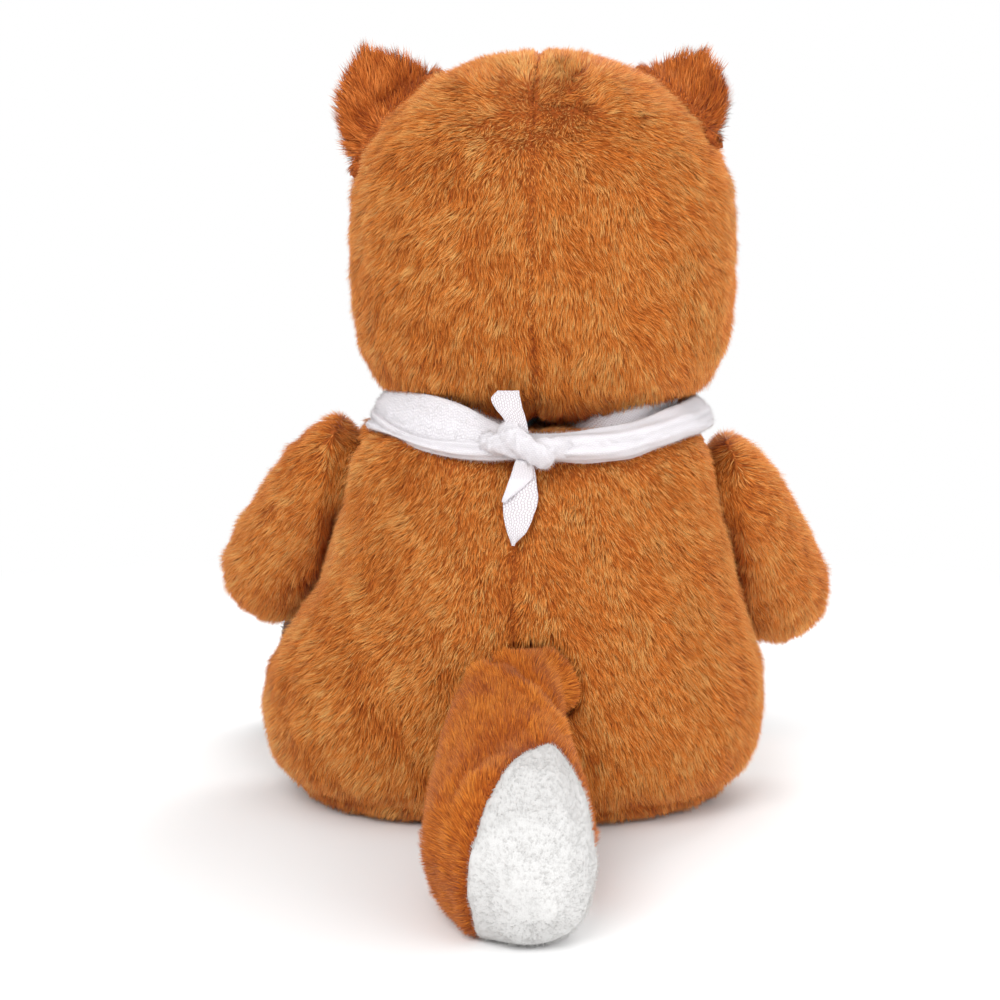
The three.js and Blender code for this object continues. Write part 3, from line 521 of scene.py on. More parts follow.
def grow(skin, normals, covers, gaps, flow, trims, shadow, sway, stand):
    """The pile of one skin: for each cover, the rows of its strands.

    covers names each cover's finish. gaps, trims and shadow hold, at the skin's points, each cover's
    distance, the share of the pile's length that is left, and how much painted shade its folds give it,
    negative where ridges get painted light. sway holds how many degrees the combing wanders widely,
    narrowly and by strand, and stand how many the pile stands up, which also gives it painted light.
    """
    triangles, across = triangles_of(skin.points, skin.faces)
    areas = norms(across) / 2
    most = max(FINISHES[finish]["density"] for finish in covers.values())
    count = int(areas.sum() * most)
    pick, weights = scatter(areas, count)

    def at_roots(values):
        return np.einsum("nk...,nk->n...", values[triangles[pick]], weights)

    def by_cover(name):
        return np.array([FINISHES[finish][name] for finish in covers.values()])[cover]

    roots = at_roots(skin.points)
    facing = unit(at_roots(normals))
    near = at_roots(gaps)
    cover = near.argmin(1)
    seam = seam_distance(near)
    trim = at_roots(trims)
    # The painted shade of folds, negative where ridges get painted light
    dark = at_roots(shadow)
    keep = (rng.random(count) < by_cover("density") / most) & (trim > LEAST_TRIM)
    roots, facing, cover, seam, trim, dark = [
        values[keep] for values in (roots, facing, cover, seam, trim, dark)]
    count = len(roots)

    wide = ripple(WIDE_WAVE)(roots)
    narrow = ripple(NARROW_WAVE)(roots)
    heading = flow(roots)
    heading = unit(heading - facing * (heading * facing).sum(1, keepdims=True))
    side = np.cross(heading, facing)
    angle = np.radians(sway[0] * wide + sway[1] * narrow + rng.normal(0, sway[2], count))[:, None]
    heading = heading * np.cos(angle) + side * np.sin(angle)
    side = np.cross(heading, facing)

    beyond_seam = smooth_step(seam, SEAM_EDGE, SEAM_REACH)
    length = by_cover("length") * trim
    length *= rng.uniform(*LENGTH_SPREAD, count) * (1 + LENGTH_WAVE * narrow)
    length *= SEAM_LENGTH + (1 - SEAM_LENGTH) * beyond_seam
    lift = stand(roots)
    length *= 1 - lift / STAND_TRIM
    width = by_cover("width") * rng.uniform(*WIDTH_SPREAD, count)
    rise = by_cover("rise") + lift + rng.normal(0, RISE_SPREAD, count) + RISE_WAVE * narrow
    rise = np.radians(rise)[:, None]
    tips = roots + length[:, None] * (np.cos(rise) * heading + np.sin(rise) * facing)

    warp = np.stack([ripple(CLUMP_WAVE)(roots) for _ in range(3)], axis=1)
    cells = np.floor((roots + CLUMP_WARP * warp) / CLUMP)
    _, clump = np.unique(cells.astype(int), axis=0, return_inverse=True)
    clump = clump.ravel()
    sizes = np.bincount(clump)[:, None]
    centres = np.stack([np.bincount(clump, roots[:, axis]) for axis in range(3)], axis=1) / sizes
    mess = by_cover("mess")[:, None]
    tips += mess * (centres[clump] - roots) * rng.uniform(*CLUMP_PULL, len(sizes))[clump, None]

    shade = unit(facing + NORMAL_SPREAD * mess * rng.normal(size=(count, 3)) + NORMAL_LEAN * heading)
    lump = rng.normal(0, 1, len(sizes))[clump]
    tones = 0.5 + TONE_WIDE * wide + TONE_NARROW * narrow + TONE_CLUMP * lump
    tones += rng.normal(0, TONE_STRAND, count)
    # Painted shade along seams and folds lowers the strands' tones; ridges get painted light
    patchy = np.clip(PATCH_MEAN + PATCH_SPREAD * ripple(PATCH_WAVE)(roots), *PATCH_RANGE)
    tones -= SEAM_SHADE * patchy * (1 - beyond_seam) + dark
    # Painted light on the crown, where the pile stands up
    tones += lift / STAND_PAINTED_LIGHT
    rows = [roots, tips, side, facing, width, shade, tones]
    return [[row[cover == index] for row in rows] for index in range(len(covers))]


pile_materials = {name: pile_material(name, finish) for name, finish in FINISHES.items()}
backing_materials = {name: backing_material(name, finish) for name, finish in FINISHES.items()}


def dress(
    body, covers, inside, flow, voxel=VOXEL, rounds=FAIRING, hull=False, planted=None, trims=(),
    creases=(), wrap=None, sway=(9, 6, 9), bulges=(), stand=lambda points: 0,
):
    """Skins and piles for the covers of one sewn form.

    planted is a surface that the form is sewn into, trims are surfaces near which the pile is short,
    creases are lines along which the form is folded, with painted shade on a fold's pile and painted
    light on a ridge's pile, wrap is the cover that reaches round the edges, bulges are places where the
    filling pushes it out, and stand is how much the pile stands up, which also gives it painted light.
    """
    skin = Skin(remeshed([*covers, *inside], voxel, hull))
    skin.fair(rounds)
    normals = skin.normals()
    trees = [surface_of(name) for name in covers]
    gaps = np.stack([distances(tree, skin.points) for tree in trees], axis=1)
    if wrap:
        gaps[:, list(covers).index(wrap)] -= EDGE_WRAP
    heights = np.array([FINISHES[finish]["height"] for finish in covers.values()])
    depth = heights[gaps.argmin(1)]
    flat = smooth_step(-normals[:, 2], *FLAT_SLOPE) * (skin.points[:, 2] < FLAT_LEVEL)
    depth = depth * (1 - flat) + FLAT_DEPTH * flat
    seam = 1 - smooth_step(seam_distance(gaps), 0, SEAM_REACH)
    depth = depth + SEAM_DEPTH * seam * (1 - flat)
    shadow = np.zeros(len(skin.points))
    # Each fold paints shade on the pile along it; a ridge, with a negative sink, gets painted light
    for line, reach, sink in creases:
        fold = 1 - smooth_step(line_distance(skin.points, np.array(line) * MM), 0, reach)
        depth = depth + sink * fold
        shadow += CREASE_SHADE * fold * np.sign(sink)
    length_left = np.ones(len(skin.points))
    if planted:
        buried = 1 - smooth_step(distances(planted, skin.points), *BURY_REACH)
        depth = depth * (1 - buried) - BURY_RISE * buried
        length_left *= 1 - BURY_TRIM * buried
    for place, reach, rise in bulges:
        away = norms(skin.points - np.array(place) * MM)
        depth = depth - rise * (1 - smooth_step(away, 0, reach))
    skin.points -= normals * depth[:, None]
    for tree, near, far, least in trims:
        away = smooth_step(distances(tree, skin.points), near, far)
        length_left *= least + (1 - least) * away
    skin.relax(0.5)
    normals = skin.normals()

    nearest = gaps[skin.faces].mean(1).argmin(1)
    piles = grow(skin, normals, covers, gaps, flow, length_left, shadow, sway, stand)
    for index, (cover, finish) in enumerate(covers.items()):
        faces = skin.faces[nearest == index]
        used, back = np.unique(faces, return_inverse=True)
        piece = object_of(
            f"{cover}_skin", skin.points[used], back.reshape(-1, 4), backing_materials[finish], body)
        thicken(piece, BACKING, -1)
        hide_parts(cover)
        strand_object(f"{cover}_pile", piles[index], pile_materials[finish], body)
    return skin


def stuff(node, body, material, voxel, lumps, depth):
    """Loose filling in place of a plain stuffing solid, a little inside its cover."""
    skin = Skin(remeshed([node], voxel))
    skin.fair(STUFFING_FAIRING)
    waves = ripple(STUFFING_WAVE * voxel)(skin.points)[:, None]
    skin.points -= skin.normals() * (depth - lumps * waves)
    skin.points[:, 2] = np.maximum(skin.points[:, 2], FLOOR_GAP + BACKING)
    piece = object_of(f"{node}_fill", skin.points, skin.faces, material, body)
    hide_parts(node)


# The way that the pile is combed


def away_from(centre):
    return lambda points: unit(points - np.array(centre))


def towards(direction):
    return lambda points: np.broadcast_to(np.array(direction, float), points.shape)


def head_flow(points):
    """Outwards and down from the crown, with a whorl near it."""
    away = points - CROWN
    near = 1 - smooth_step(norms(away), *WHORL_REACH)
    whorl = np.stack([ripple(WHORL_WAVE)(points) for _ in range(3)], axis=1)
    return unit(away) + HEAD_DROP + WHORL_SHARE * near[:, None] * whorl


def crown_stand(points):
    return CROWN_STAND * (1 - smooth_step(norms(points - CROWN), *STAND_REACH))


def torso_flow(points):
    """Down, and outwards on both sides of the middle."""
    slant = SLANT * np.clip(points[:, 0] / SLANT_WIDTH, -1, 1)
    return np.stack([slant, np.zeros(len(points)), -np.ones(len(points))], axis=1)


def centre_of(node):
    return np.array([vertex.co for vertex in nodes[node].data.vertices]).mean(0)


def pivot_of(joint):
    return np.array(next(item["pos_m"] for item in frame["joints"] if item["name"] == joint))


# Folds, as lines through places in millimetres, with how far they reach and how deep they sink; a fold's
# pile gets painted shade, and a ridge, whose sink is negative, gets painted light
EAR_CREASES = {
    "left": [([(58, -3, 262), (51, -4, 266), (41, -5, 271), (31, -7, 278)], 5 * MM, 1.4 * MM)],
    "right": [
        ([(-56, 0, 272), (-62, 8, 267), (-70, 8, 258), (-77, 4, 248)], 5 * MM, 1.6 * MM),
        ([(-61, -3, 275), (-71, 3, 266), (-77, 6, 256)], 4 * MM, -1.0 * MM),
    ],
}
TAIL_CREASES = [
    ([(21, 176, 46), (15, 169, 51), (5, 155, 55), (-4, 141, 57)], 9 * MM, 2.6 * MM),
    ([(22, 190, 29), (17, 184, 44), (11, 171, 52), (2, 151, 56), (-8, 139, 56)], 4 * MM, -0.8 * MM),
    (
        [(12, 80, 68), (7, 87, 69), (1, 94, 68), (-4, 101, 66), (-9, 106, 62), (-14, 107, 56)],
        6 * MM, 3.2 * MM),
    (
        [(14, 90, 66), (5, 97, 66), (0, 105, 65), (-6, 113, 61), (-11, 119, 57), (-15, 124, 53)],
        6 * MM, -2.4 * MM),
]
TAIL_BULGES = [((-19, 74, 55), 13 * MM, 4 * MM), ((-15, 77, 66), 10 * MM, 1.5 * MM)]
BACK_CREASES = [([(2, 60, 104), (2, 65, 90), (2, 70, 76)], 5 * MM, 0.9 * MM)]
SHOULDER_BULGES = [((57, -8, 142), 16 * MM, 7 * MM), ((-71, -8, 135), 14 * MM, 4 * MM)]
# From an ear's root to its middle, outwards and up, and the way that a leg's pile lies
EAR_RISE = (0.012, 0.022)
LEG_WAY = (0, -1, -0.25)

under_cloth = (surface_of("neckerchief"), 0.8 * MM, 5 * MM, 0.25)
limb_roots = surface_of("arm_cover_left", "arm_cover_right", "leg_cover_left", "leg_cover_right")
torso_surface = surface_of("body_back_left", "body_back_right", "belly_panel")
beside_torso = (torso_surface, 0.6 * MM, 3 * MM, 0.6)
head_surface = surface_of("head_back_left", "head_back_right", "forehead_panel", "cheek_left", "cheek_right")

torso_skin = dress(
    "torso",
    {
        "seat_panel": "orange", "body_back_left": "orange", "body_back_right": "orange",
        "belly_panel": "cream",
    },
    ["body_stuffing", "pellet_bag"],
    torso_flow,
    bulges=SHOULDER_BULGES,
    creases=BACK_CREASES,
    trims=[under_cloth, (limb_roots, 0.6 * MM, 3 * MM, 0.5), (head_surface, 1 * MM, 6 * MM, 0.3)],
)
head_skin = dress(
    "head",
    {
        "head_back_left": "orange", "head_back_right": "orange", "forehead_panel": "orange",
        "cheek_left": "white", "cheek_right": "white",
    },
    [],
    head_flow,
    hull=True,
    sway=(15, 8, 9),
    stand=crown_stand,
    trims=[
        under_cloth,
        (surface_of("eye_left", "eye_right"), 1 * MM, 5 * MM, 0.2),
        (surface_of("muzzle_cover"), 0.6 * MM, 4 * MM, 0.3),
    ],
)
muzzle_skin = dress(
    "head", {"muzzle_cover": "muzzle"}, [], away_from(centre_of("nose")),
    voxel=MUZZLE_VOXEL, rounds=MUZZLE_FAIRING, hull=True, planted=head_surface,
    trims=[(surface_of("nose", "mouth_stitch"), 0.4 * MM, 2 * MM, 0.2)],
)
for side, sign in (("left", 1), ("right", -1)):
    ear = centre_of(f"ear_back_{side}")
    dress(
        "head", {f"ear_back_{side}": "ear", f"ear_lining_{side}": "cream"}, [],
        away_from(ear - np.array((EAR_RISE[0] * sign, 0, EAR_RISE[1]))),
        voxel=FINE_VOXEL, rounds=FINE_FAIRING, planted=head_surface, creases=EAR_CREASES[side],
        wrap=f"ear_back_{side}",
    )
    arm_axis = unit(centre_of(f"arm_cover_{side}") - pivot_of(f"shoulder_{side}"))
    dress(
        f"arm_{side}", {f"arm_cover_{side}": "orange"}, [f"arm_stuffing_{side}"], towards(arm_axis),
        rounds=LIMB_FAIRING, trims=[beside_torso],
    )
    dress(
        f"leg_{side}",
        {f"leg_cover_{side}": "orange", f"foot_cover_{side}": "brown", f"sole_pad_{side}": "sole"},
        [f"leg_stuffing_{side}"], towards(LEG_WAY), rounds=LIMB_FAIRING, trims=[beside_torso],
    )
tail_axis = unit(centre_of("tail_tip") - pivot_of("tail_wag"))
dress(
    "tail", {"tail_cover": "tail", "tail_tip": "tip"}, ["tail_stuffing"], towards(-tail_axis),
    voxel=FINE_VOXEL, rounds=LIMB_FAIRING, trims=[beside_torso], creases=TAIL_CREASES,
    bulges=TAIL_BULGES, sway=(8, 5, 8),
)


def cloth_material(name, low, high, course, depth):
    """Knitted cloth, in rows of stitches along its own surface."""
    graph = Graph(name)
    uv = graph.add("ShaderNodeUVMap", uv_map="cloth")
    stitches = graph.add("ShaderNodeTexBrick", {
        "Scale": 1.0, "Mortar Size": 0.2 * course, "Mortar Smooth": 0.6, "Brick Width": 1.5 * course,
        "Row Height": course, "Mortar": (*low, 1), "Color1": (*high, 1),
        "Color2": (*[0.97 * value for value in high], 1),
    }, offset=0.5)
    sway = graph.add(
        "ShaderNodeTexWave", {"Scale": 1 / (20 * course)}, wave_type="BANDS", bands_direction="X",
        wave_profile="TRI")
    graph.join(uv.outputs["UV"], sway.inputs["Vector"])
    lift = graph.add("ShaderNodeVectorMath", {1: (0, 0.7 * course, 0)}, operation="MULTIPLY_ADD")
    graph.join(sway.outputs["Color"], lift.inputs[0])
    graph.join(uv.outputs["UV"], lift.inputs[2])
    graph.join(lift.outputs["Vector"], stitches.inputs["Vector"])
    graph.colour(stitches.outputs["Color"])
    invert = graph.add("ShaderNodeMath", {0: 1.0}, operation="SUBTRACT")
    graph.join(stitches.outputs["Fac"], invert.inputs[1])
    graph.bump(invert.outputs["Value"], depth)
    return graph.complete({"Roughness": 0.9, "Specular IOR Level": 0.2})


FIBRE = grained(
    "fibre_fill", (0.66, 0.65, 0.62), (0.86, 0.85, 0.83), 600, 0.8 * MM, 1.0,
    strength=1.0, specular=0.5, edge=0.25, detail=6.0)
BRUSHED_KNIT = cloth_material("brushed_knit", (0.78, 0.75, 0.79), (0.88, 0.85, 0.88), 0.7 * MM, 0.15 * MM)
OPEN_KNIT = cloth_material("open_knit", (0.62, 0.55, 0.58), (0.88, 0.85, 0.88), 0.8 * MM, 0.25 * MM)
BAG_CLOTH = cloth_material("bag_cloth", (0.50, 0.48, 0.44), (0.78, 0.76, 0.70), 0.8 * MM, 0.2 * MM)
GLOSS = grained("black_gloss", (0.004, 0.003, 0.003), (0.012, 0.008, 0.007), 90, 0.05 * MM, 0.08)
NOSE_GLOSS = grained("nose_gloss", (0.006, 0.004, 0.004), (0.016, 0.011, 0.01), 500, 0.15 * MM, 0.3)
WASHER = grained("washer_plastic", (0.74, 0.74, 0.72), (0.8, 0.8, 0.78), 300, 0.05 * MM, 0.45)
THREAD = grained("mouth_thread", (0.035, 0.016, 0.012), (0.11, 0.055, 0.042), 1600, 0.3 * MM, 0.7)
FUZZ = pile_material("fuzz", {
    "dark": (0.82, 0.79, 0.82), "middle": (0.88, 0.855, 0.88), "light": (0.93, 0.915, 0.93),
    "root": (0.98, 0.98, 0.98),
})

FILL_DEPTH = 3.2 * MM
BODY_FILL_DEPTH = 5.5 * MM
STUFFINGS = {
    "body_stuffing": "torso", "head_stuffing": "head", "muzzle_stuffing": "head", "tail_stuffing": "tail",
    "arm_stuffing_left": "arm_left", "arm_stuffing_right": "arm_right",
    "leg_stuffing_left": "leg_left", "leg_stuffing_right": "leg_right",
}
for stuffing, body in STUFFINGS.items():
    depth = BODY_FILL_DEPTH if body == "torso" else FILL_DEPTH
    stuff(stuffing, body, FIBRE, voxel=3.5 * MM, lumps=0.36 * MM, depth=depth)
stuff("pellet_bag", "torso", BAG_CLOTH, voxel=1.5 * MM, lumps=0.24 * MM, depth=0.8 * MM)

muzzle_solid = surface_of("muzzle_cover")
muzzle_surface = tree_of(muzzle_skin.points, muzzle_skin.faces)


def on_muzzle(point, lift):
    """A place on the solid muzzle, moved along with the muzzle's skin and a little out of it."""
    before = muzzle_solid.find_nearest(Vector(point))[0]
    after, normal = muzzle_surface.find_nearest(before)[:2]
    if normal.dot(Vector(point) - before) < 0:
        normal = -normal
    return np.array(Vector(point) + after - before + lift * normal)


def rounded(node, material, voxel, rounds, press=0):
    """A small hard or spun piece, with the solid's facets evened out, pressed a little into the pile."""
    skin = Skin(remeshed([node], voxel))
    skin.fair(rounds)
    if node == "mouth_stitch":
        skin.points = np.array([on_muzzle(point, STITCH_LIFT) for point in skin.points])
    skin.points += np.array((0, press, 0))
    piece = object_of(f"{node}_round", skin.points, skin.faces, material, "head")
    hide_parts(node)


for side in ("left", "right"):
    rounded(f"eye_{side}", GLOSS, 0.9 * MM, 60, EYE_PRESS)
rounded("nose", NOSE_GLOSS, 1.1 * MM, 60, NOSE_PRESS)
rounded("mouth_stitch", THREAD, 0.5 * MM, 4)
for washer in ("nose_washer", "eye_washer_left", "eye_washer_right"):
    nodes[washer].data.materials.clear()
    nodes[washer].data.materials.append(WASHER)


# The neckerchief, rolled round the neck and knotted at the back, with its point over the chest

CLOTH_THICKNESS = 0.7 * MM
CLOTH_RADII = np.array([65.5, 54.5])
CLOTH_PRESS = 1.4
CAST_START = 0.15
BIB_WIDTH = 108
BIB_LEVELS = (141, 80)
BIB_TAPER = 0.985
BIB_LIFT = 1.4
BIB_START = -0.2
NECK_X = -11.0 * MM
TURN_STEP = 1.5
INSIDE_RISE = 2.5
LAYER_GAP = 1.2
LEAN_RANGE = (1.5, 6)
FUZZ_RISE, FUZZ_STRAY = 0.55, 0.6
FUZZ_LENGTH = (0.7, 1.8)
FUZZ_WIDTH = (0.09, 0.17)
FUZZ_TONES = (0.2, 0.8)
# Levels in millimetres, by the angle from the toy's left through its back: the lower edge, the ridge of
# the roll, the upper edge of the front layer and of the layer behind it
CLOTH_LEVELS = np.array([
    (0, 142.5, 150.5, 157, 156),
    (16, 143, 150, 157.8, 156.5),
    (30, 141.5, 146.5, 158.2, 157),
    (45, 138.4, 143.8, 157.6, 156),
    (60, 136.2, 143.2, 154.4, 153),
    (72, 135.8, 143, 148.8, 147),
    (84, 137, 142.6, 145, 144),
    (95, 136.4, 143.2, 145.2, 145.4),
    (106, 135.2, 144.4, 146.6, 149),
    (120, 136.2, 145.6, 147.9, 152),
    (130, 138.6, 147.4, 150, 155.2),
    (145, 141.2, 150, 153.2, 155.6),
    (165, 142.5, 151, 155.4, 156),
    (185, 141.5, 150.5, 155.4, 155.4),
    (210, 140.5, 149.5, 152.5, 154),
    (270, 136.2, 145.5, 148.5, 151),
    (330, 140.5, 149.5, 154, 154.8),
    (360, 142.5, 150.5, 157, 156),
])
# The cloth's loose ends, as rows of left edge, right edge, place along Y and height in millimetres
UPPER_END = [
    (2.5, -5.9, 57, 144.5), (2.9, -5.2, 57, 148), (3.7, -4.4, 55.6, 151.9), (6.6, -3.2, 53.8, 155.4),
    (8.2, -2.4, 53, 159), (5.8, -1.9, 53.4, 162),
]
LOWER_END = [
    (-0.8, -6.6, 58, 137.5), (1, -8, 54.4, 130.8), (1.7, -8.1, 54.4, 128.7), (3.7, -8.8, 56.6, 122.3),
    (3.7, -7.1, 58.9, 116.6), (2.5, -4.8, 60.9, 111.4), (1.5, -2.5, 61.8, 108.9), (0.3, -0.1, 62.6, 106.3),
]
END_FOLD = [
    (-0.8, -6.6, 58.9, 137), (1.1, -7, 55.6, 130.8), (1.8, -5.5, 55.6, 128.7), (2.9, -1.9, 56.6, 125.4),
    (3.8, 1.7, 57.8, 122.9), (4, 3.5, 58.4, 121.6),
]
# The knot's rolls, as places in millimetres, with each roll's width and depth
KNOT_ROLLS = [
    (
        [(3.5, 52, 148.5), (1, 57.5, 146.5), (-3.5, 59.6, 142.6), (-9, 59, 138.9), (-13.5, 55.5, 136.2)],
        8.6, 5.6),
    ([(12, 49.5, 143.2), (5, 55.2, 142.6), (-2, 57.6, 141), (-6, 57, 140)], 7.6, 5.4),
    ([(-24, 48.5, 141), (-15, 54.6, 141), (-7, 57.2, 141)], 8.4, 5),
]


def curve_through(points, steps):
    """A smooth line through rows of numbers, with some steps between each two."""
    points = np.array(points, float)
    padded = np.concatenate([[2 * points[0] - points[1]], points, [2 * points[-1] - points[-2]]])
    share = np.linspace(0, 1, steps, endpoint=False)[:, None]
    pieces = []
    for before, start, end, after in zip(padded, padded[1:], padded[2:], padded[3:]):
        pieces.append(0.5 * (
            2 * start + (end - before) * share + (2 * before - 5 * start + 4 * end - after) * share ** 2
            + (3 * start - before - 3 * end + after) * share ** 3))
    return np.concatenate([*pieces, points[-1:]])


def grid_faces(rows, columns, closed=False):
    """Quads of a grid of points, row by row."""
    last = rows if closed else rows - 1
    row, column = np.meshgrid(np.arange(last), np.arange(columns - 1), indexing="ij")
    here = row * columns + column
    over = ((row + 1) % rows) * columns + column
    return np.stack([here, over, over + 1, here + 1], axis=-1).reshape(-1, 4)


def cloth_piece(name, points, faces, lengths, front, back):
    """A thin cloth: front and back materials, and its own flat coordinates in metres."""
    piece = object_of(name, points, faces, front, "torso")
    piece.data.materials.append(back)
    layer = piece.data.uv_layers.new(name="cloth")
    layer.data.foreach_set("uv", lengths[np.array(faces).ravel()].ravel())
    thicken(piece, CLOTH_THICKNESS, 0).material_offset = 1
    return piece


def evened(values, reach):
    """Values round a ring, each averaged with its neighbours."""
    return np.mean([np.roll(values, shift, axis=0) for shift in range(-reach, reach + 1)], axis=0)


def roll_grid():
    """The roll round the neck, as rings of one section: its inside, lower edge, ridge and front layer."""
    body = tree_of(
        np.concatenate([torso_skin.points, head_skin.points]),
        np.concatenate([torso_skin.faces, head_skin.faces + len(torso_skin.points)]))
    centre = Vector((NECK_X, 0, 0))
    turns = np.arange(0, 360, TURN_STEP)
    columns = [np.interp(turns, CLOTH_LEVELS[:, 0], column) for column in CLOTH_LEVELS.T[1:]]
    levels = evened(np.stack(columns, axis=1), 3)
    outward = np.stack([np.cos(np.radians(turns)), np.sin(np.radians(turns))], axis=1) * CLOTH_RADII
    outer = norms(outward)
    outward /= outer[:, None]

    def resting(way, level, step):
        """How far out the cloth lies on the toy, at this level or the next one that has a surface."""
        place = None
        while place is None:
            start = centre + way * CAST_START + Vector((0, 0, level * MM))
            place = body.ray_cast(start, -way)[0]
            level += step
        return (place - centre).dot(way) / MM + CLOTH_PRESS

    ways = [Vector((*way, 0)) for way in outward]
    lows = levels[:, 0] + INSIDE_RISE
    under = evened(np.array([resting(way, low, -1) for way, low in zip(ways, lows)]), 5)
    over = evened(np.array([resting(way, top, 1) for way, top in zip(ways, levels[:, 3])]), 5)
    rings = []
    for way, (low, ridge, crest, top), near, far, rim in zip(outward, levels, under, over, outer):
        high = ridge - low
        inside = low + INSIDE_RISE
        lean = np.clip(rim - far - LAYER_GAP, *LEAN_RANGE)
        section = curve_through([
            (far + 0.3, top), ((far + near) / 2 + 0.3, (top + inside) / 2), (near + 0.4, inside),
            ((near + rim) / 2, low), (rim - 0.8, low + 0.22 * high), (rim, low + 0.5 * high),
            (rim - 0.5, low + 0.8 * high), (rim - 1.5, ridge), (rim - 1.0 - 0.4 * lean, (ridge + crest) / 2),
            (rim - 0.4 - lean, crest), (rim - 1.4 - lean, crest - 0.8), (rim - 2.8 - 0.4 * lean, ridge),
            (rim - 3.2, low + 0.35 * high),
        ], 4)
        rings.append(np.column_stack([
            NECK_X + section[:, 0] * way[0] * MM, section[:, 0] * way[1] * MM, section[:, 1] * MM]))
    return np.array(rings)


def cloth_lengths(grid):
    """How far each point of a grid is along its rows and columns."""
    along = np.cumsum(norms(np.diff(grid.mean(1), axis=0, prepend=grid.mean(1)[:1])))
    across = np.cumsum(norms(np.diff(grid, axis=1, prepend=grid[:, :1])).mean(0))
    return np.stack(np.meshgrid(along, across, indexing="ij"), axis=-1).reshape(-1, 2)


def ruffled(grid, height, across, stretch, closed=False):
    """Small folds that run along a grid's first direction."""
    lengths = cloth_lengths(grid).reshape(*grid.shape[:2], 2)
    rows = np.roll(grid, -1, 0) - np.roll(grid, 1, 0) if closed else np.gradient(grid, axis=0)
    columns = np.gradient(grid, axis=1)
    normals = unit(np.cross(rows, columns))
    flat = np.concatenate([grid[..., :2] / stretch, lengths[..., 1:]], axis=-1)
    folds = ripple(across)(flat.reshape(-1, 3)).reshape(grid.shape[:2])
    return grid + normals * (height * folds)[..., None]


def bib_grid():
    """The cloth's point over the chest."""
    torso = tree_of(torso_skin.points, torso_skin.faces)
    top, tip = BIB_LEVELS
    rows = []
    for share in np.linspace(0, 1, 40):
        level = (top + (tip - top) * share) * MM
        half = BIB_WIDTH / 2 * MM * (1 - BIB_TAPER * share)
        row = []
        for across in np.linspace(-1, 1, 41):
            x = NECK_X + half * across
            place = torso.ray_cast(Vector((x, BIB_START, level)), Vector((0, 1, 0)))[0]
            row.append((x, place.y - (CLOTH_PRESS + BIB_LIFT) * MM, level))
        rows.append(row)
    return np.array(rows)


roll = ruffled(roll_grid(), 0.35 * MM, 5 * MM, 6, closed=True)
bib = ruffled(bib_grid(), 0.5 * MM, 22 * MM, 1)
roll_faces = grid_faces(*roll.shape[:2], closed=True)
bib_faces = grid_faces(*bib.shape[:2])
cloth_points = np.concatenate([roll.reshape(-1, 3), bib.reshape(-1, 3)])
cloth_faces = np.concatenate([roll_faces, bib_faces + roll.shape[0] * roll.shape[1]])
flat_places = np.concatenate([cloth_lengths(roll), cloth_lengths(bib)])
cloth = cloth_piece("neckerchief_cloth", cloth_points, cloth_faces, flat_places, BRUSHED_KNIT, OPEN_KNIT)
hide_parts("neckerchief")


def end_grid(rows, bow):
    """A loose end of the cloth, bowed a little across."""
    rows = curve_through(rows, 6)
    across = np.linspace(0, 1, 13)
    sides = rows[:, :1] + (rows[:, 1:2] - rows[:, :1]) * across
    forward = rows[:, 2:3] + bow * np.sin(math.pi * across)
    level = np.broadcast_to(rows[:, 3:4], sides.shape)
    return np.stack([sides, forward, level], axis=-1) * MM


def cloth_end(name, rows, bow, front, back):
    grid = ruffled(end_grid(rows, bow), 0.18 * MM, 4 * MM, 3)
    faces = grid_faces(*grid.shape[:2])
    return cloth_piece(name, grid.reshape(-1, 3), faces, cloth_lengths(grid), front, back)


def knot_mesh():
    """The knot's rolls, joined to one even surface."""
    joined = bmesh.new()
    for places, width, depth in KNOT_ROLLS:
        line = curve_through(places, 8)
        way = unit(np.gradient(line, axis=0))
        outward = unit(np.array((0, 1, 0)) - way * way[:, 1:2])
        side = np.cross(way, outward)
        ends = np.sqrt(1 - np.linspace(-0.96, 0.96, len(line)) ** 8)
        turns = np.linspace(0, 2 * math.pi, 16, endpoint=False)
        loops = []
        for place, a, b, size in zip(line, side * width / 2, outward * depth / 2, ends):
            ring = [place + size * (math.cos(turn) * a + math.sin(turn) * b) for turn in turns]
            loops.append([joined.verts.new(point * MM) for point in ring])
        for one, two in zip(loops, loops[1:]):
            for k in range(len(turns)):
                joined.faces.new((one[k], one[k - 1], two[k - 1], two[k]))
        joined.faces.new(loops[0])
        joined.faces.new(loops[-1][::-1])
    bmesh.ops.recalc_face_normals(joined, faces=joined.faces)
    return even_mesh(joined, 0.5 * MM)


knot_skin = Skin(knot_mesh())
knot_skin.fair(3)
knot_skin.points += knot_skin.normals() * (0.12 * MM * ripple(4 * MM)(knot_skin.points))[:, None]
knot = object_of(
    "neckerchief_knot", knot_skin.points, knot_skin.faces, BRUSHED_KNIT, "torso")
layer = knot.data.uv_layers.new(name="cloth")
layer.data.foreach_set("uv", knot_skin.points[knot_skin.faces.ravel()][:, [0, 2]].ravel())
upper_end = cloth_end("neckerchief_end_upper", UPPER_END, 0.8, BRUSHED_KNIT, OPEN_KNIT)
lower_end = cloth_end("neckerchief_end_lower", LOWER_END, 0.5, OPEN_KNIT, BRUSHED_KNIT)
end_fold = cloth_end("neckerchief_end_fold", END_FOLD, 0.9, BRUSHED_KNIT, OPEN_KNIT)


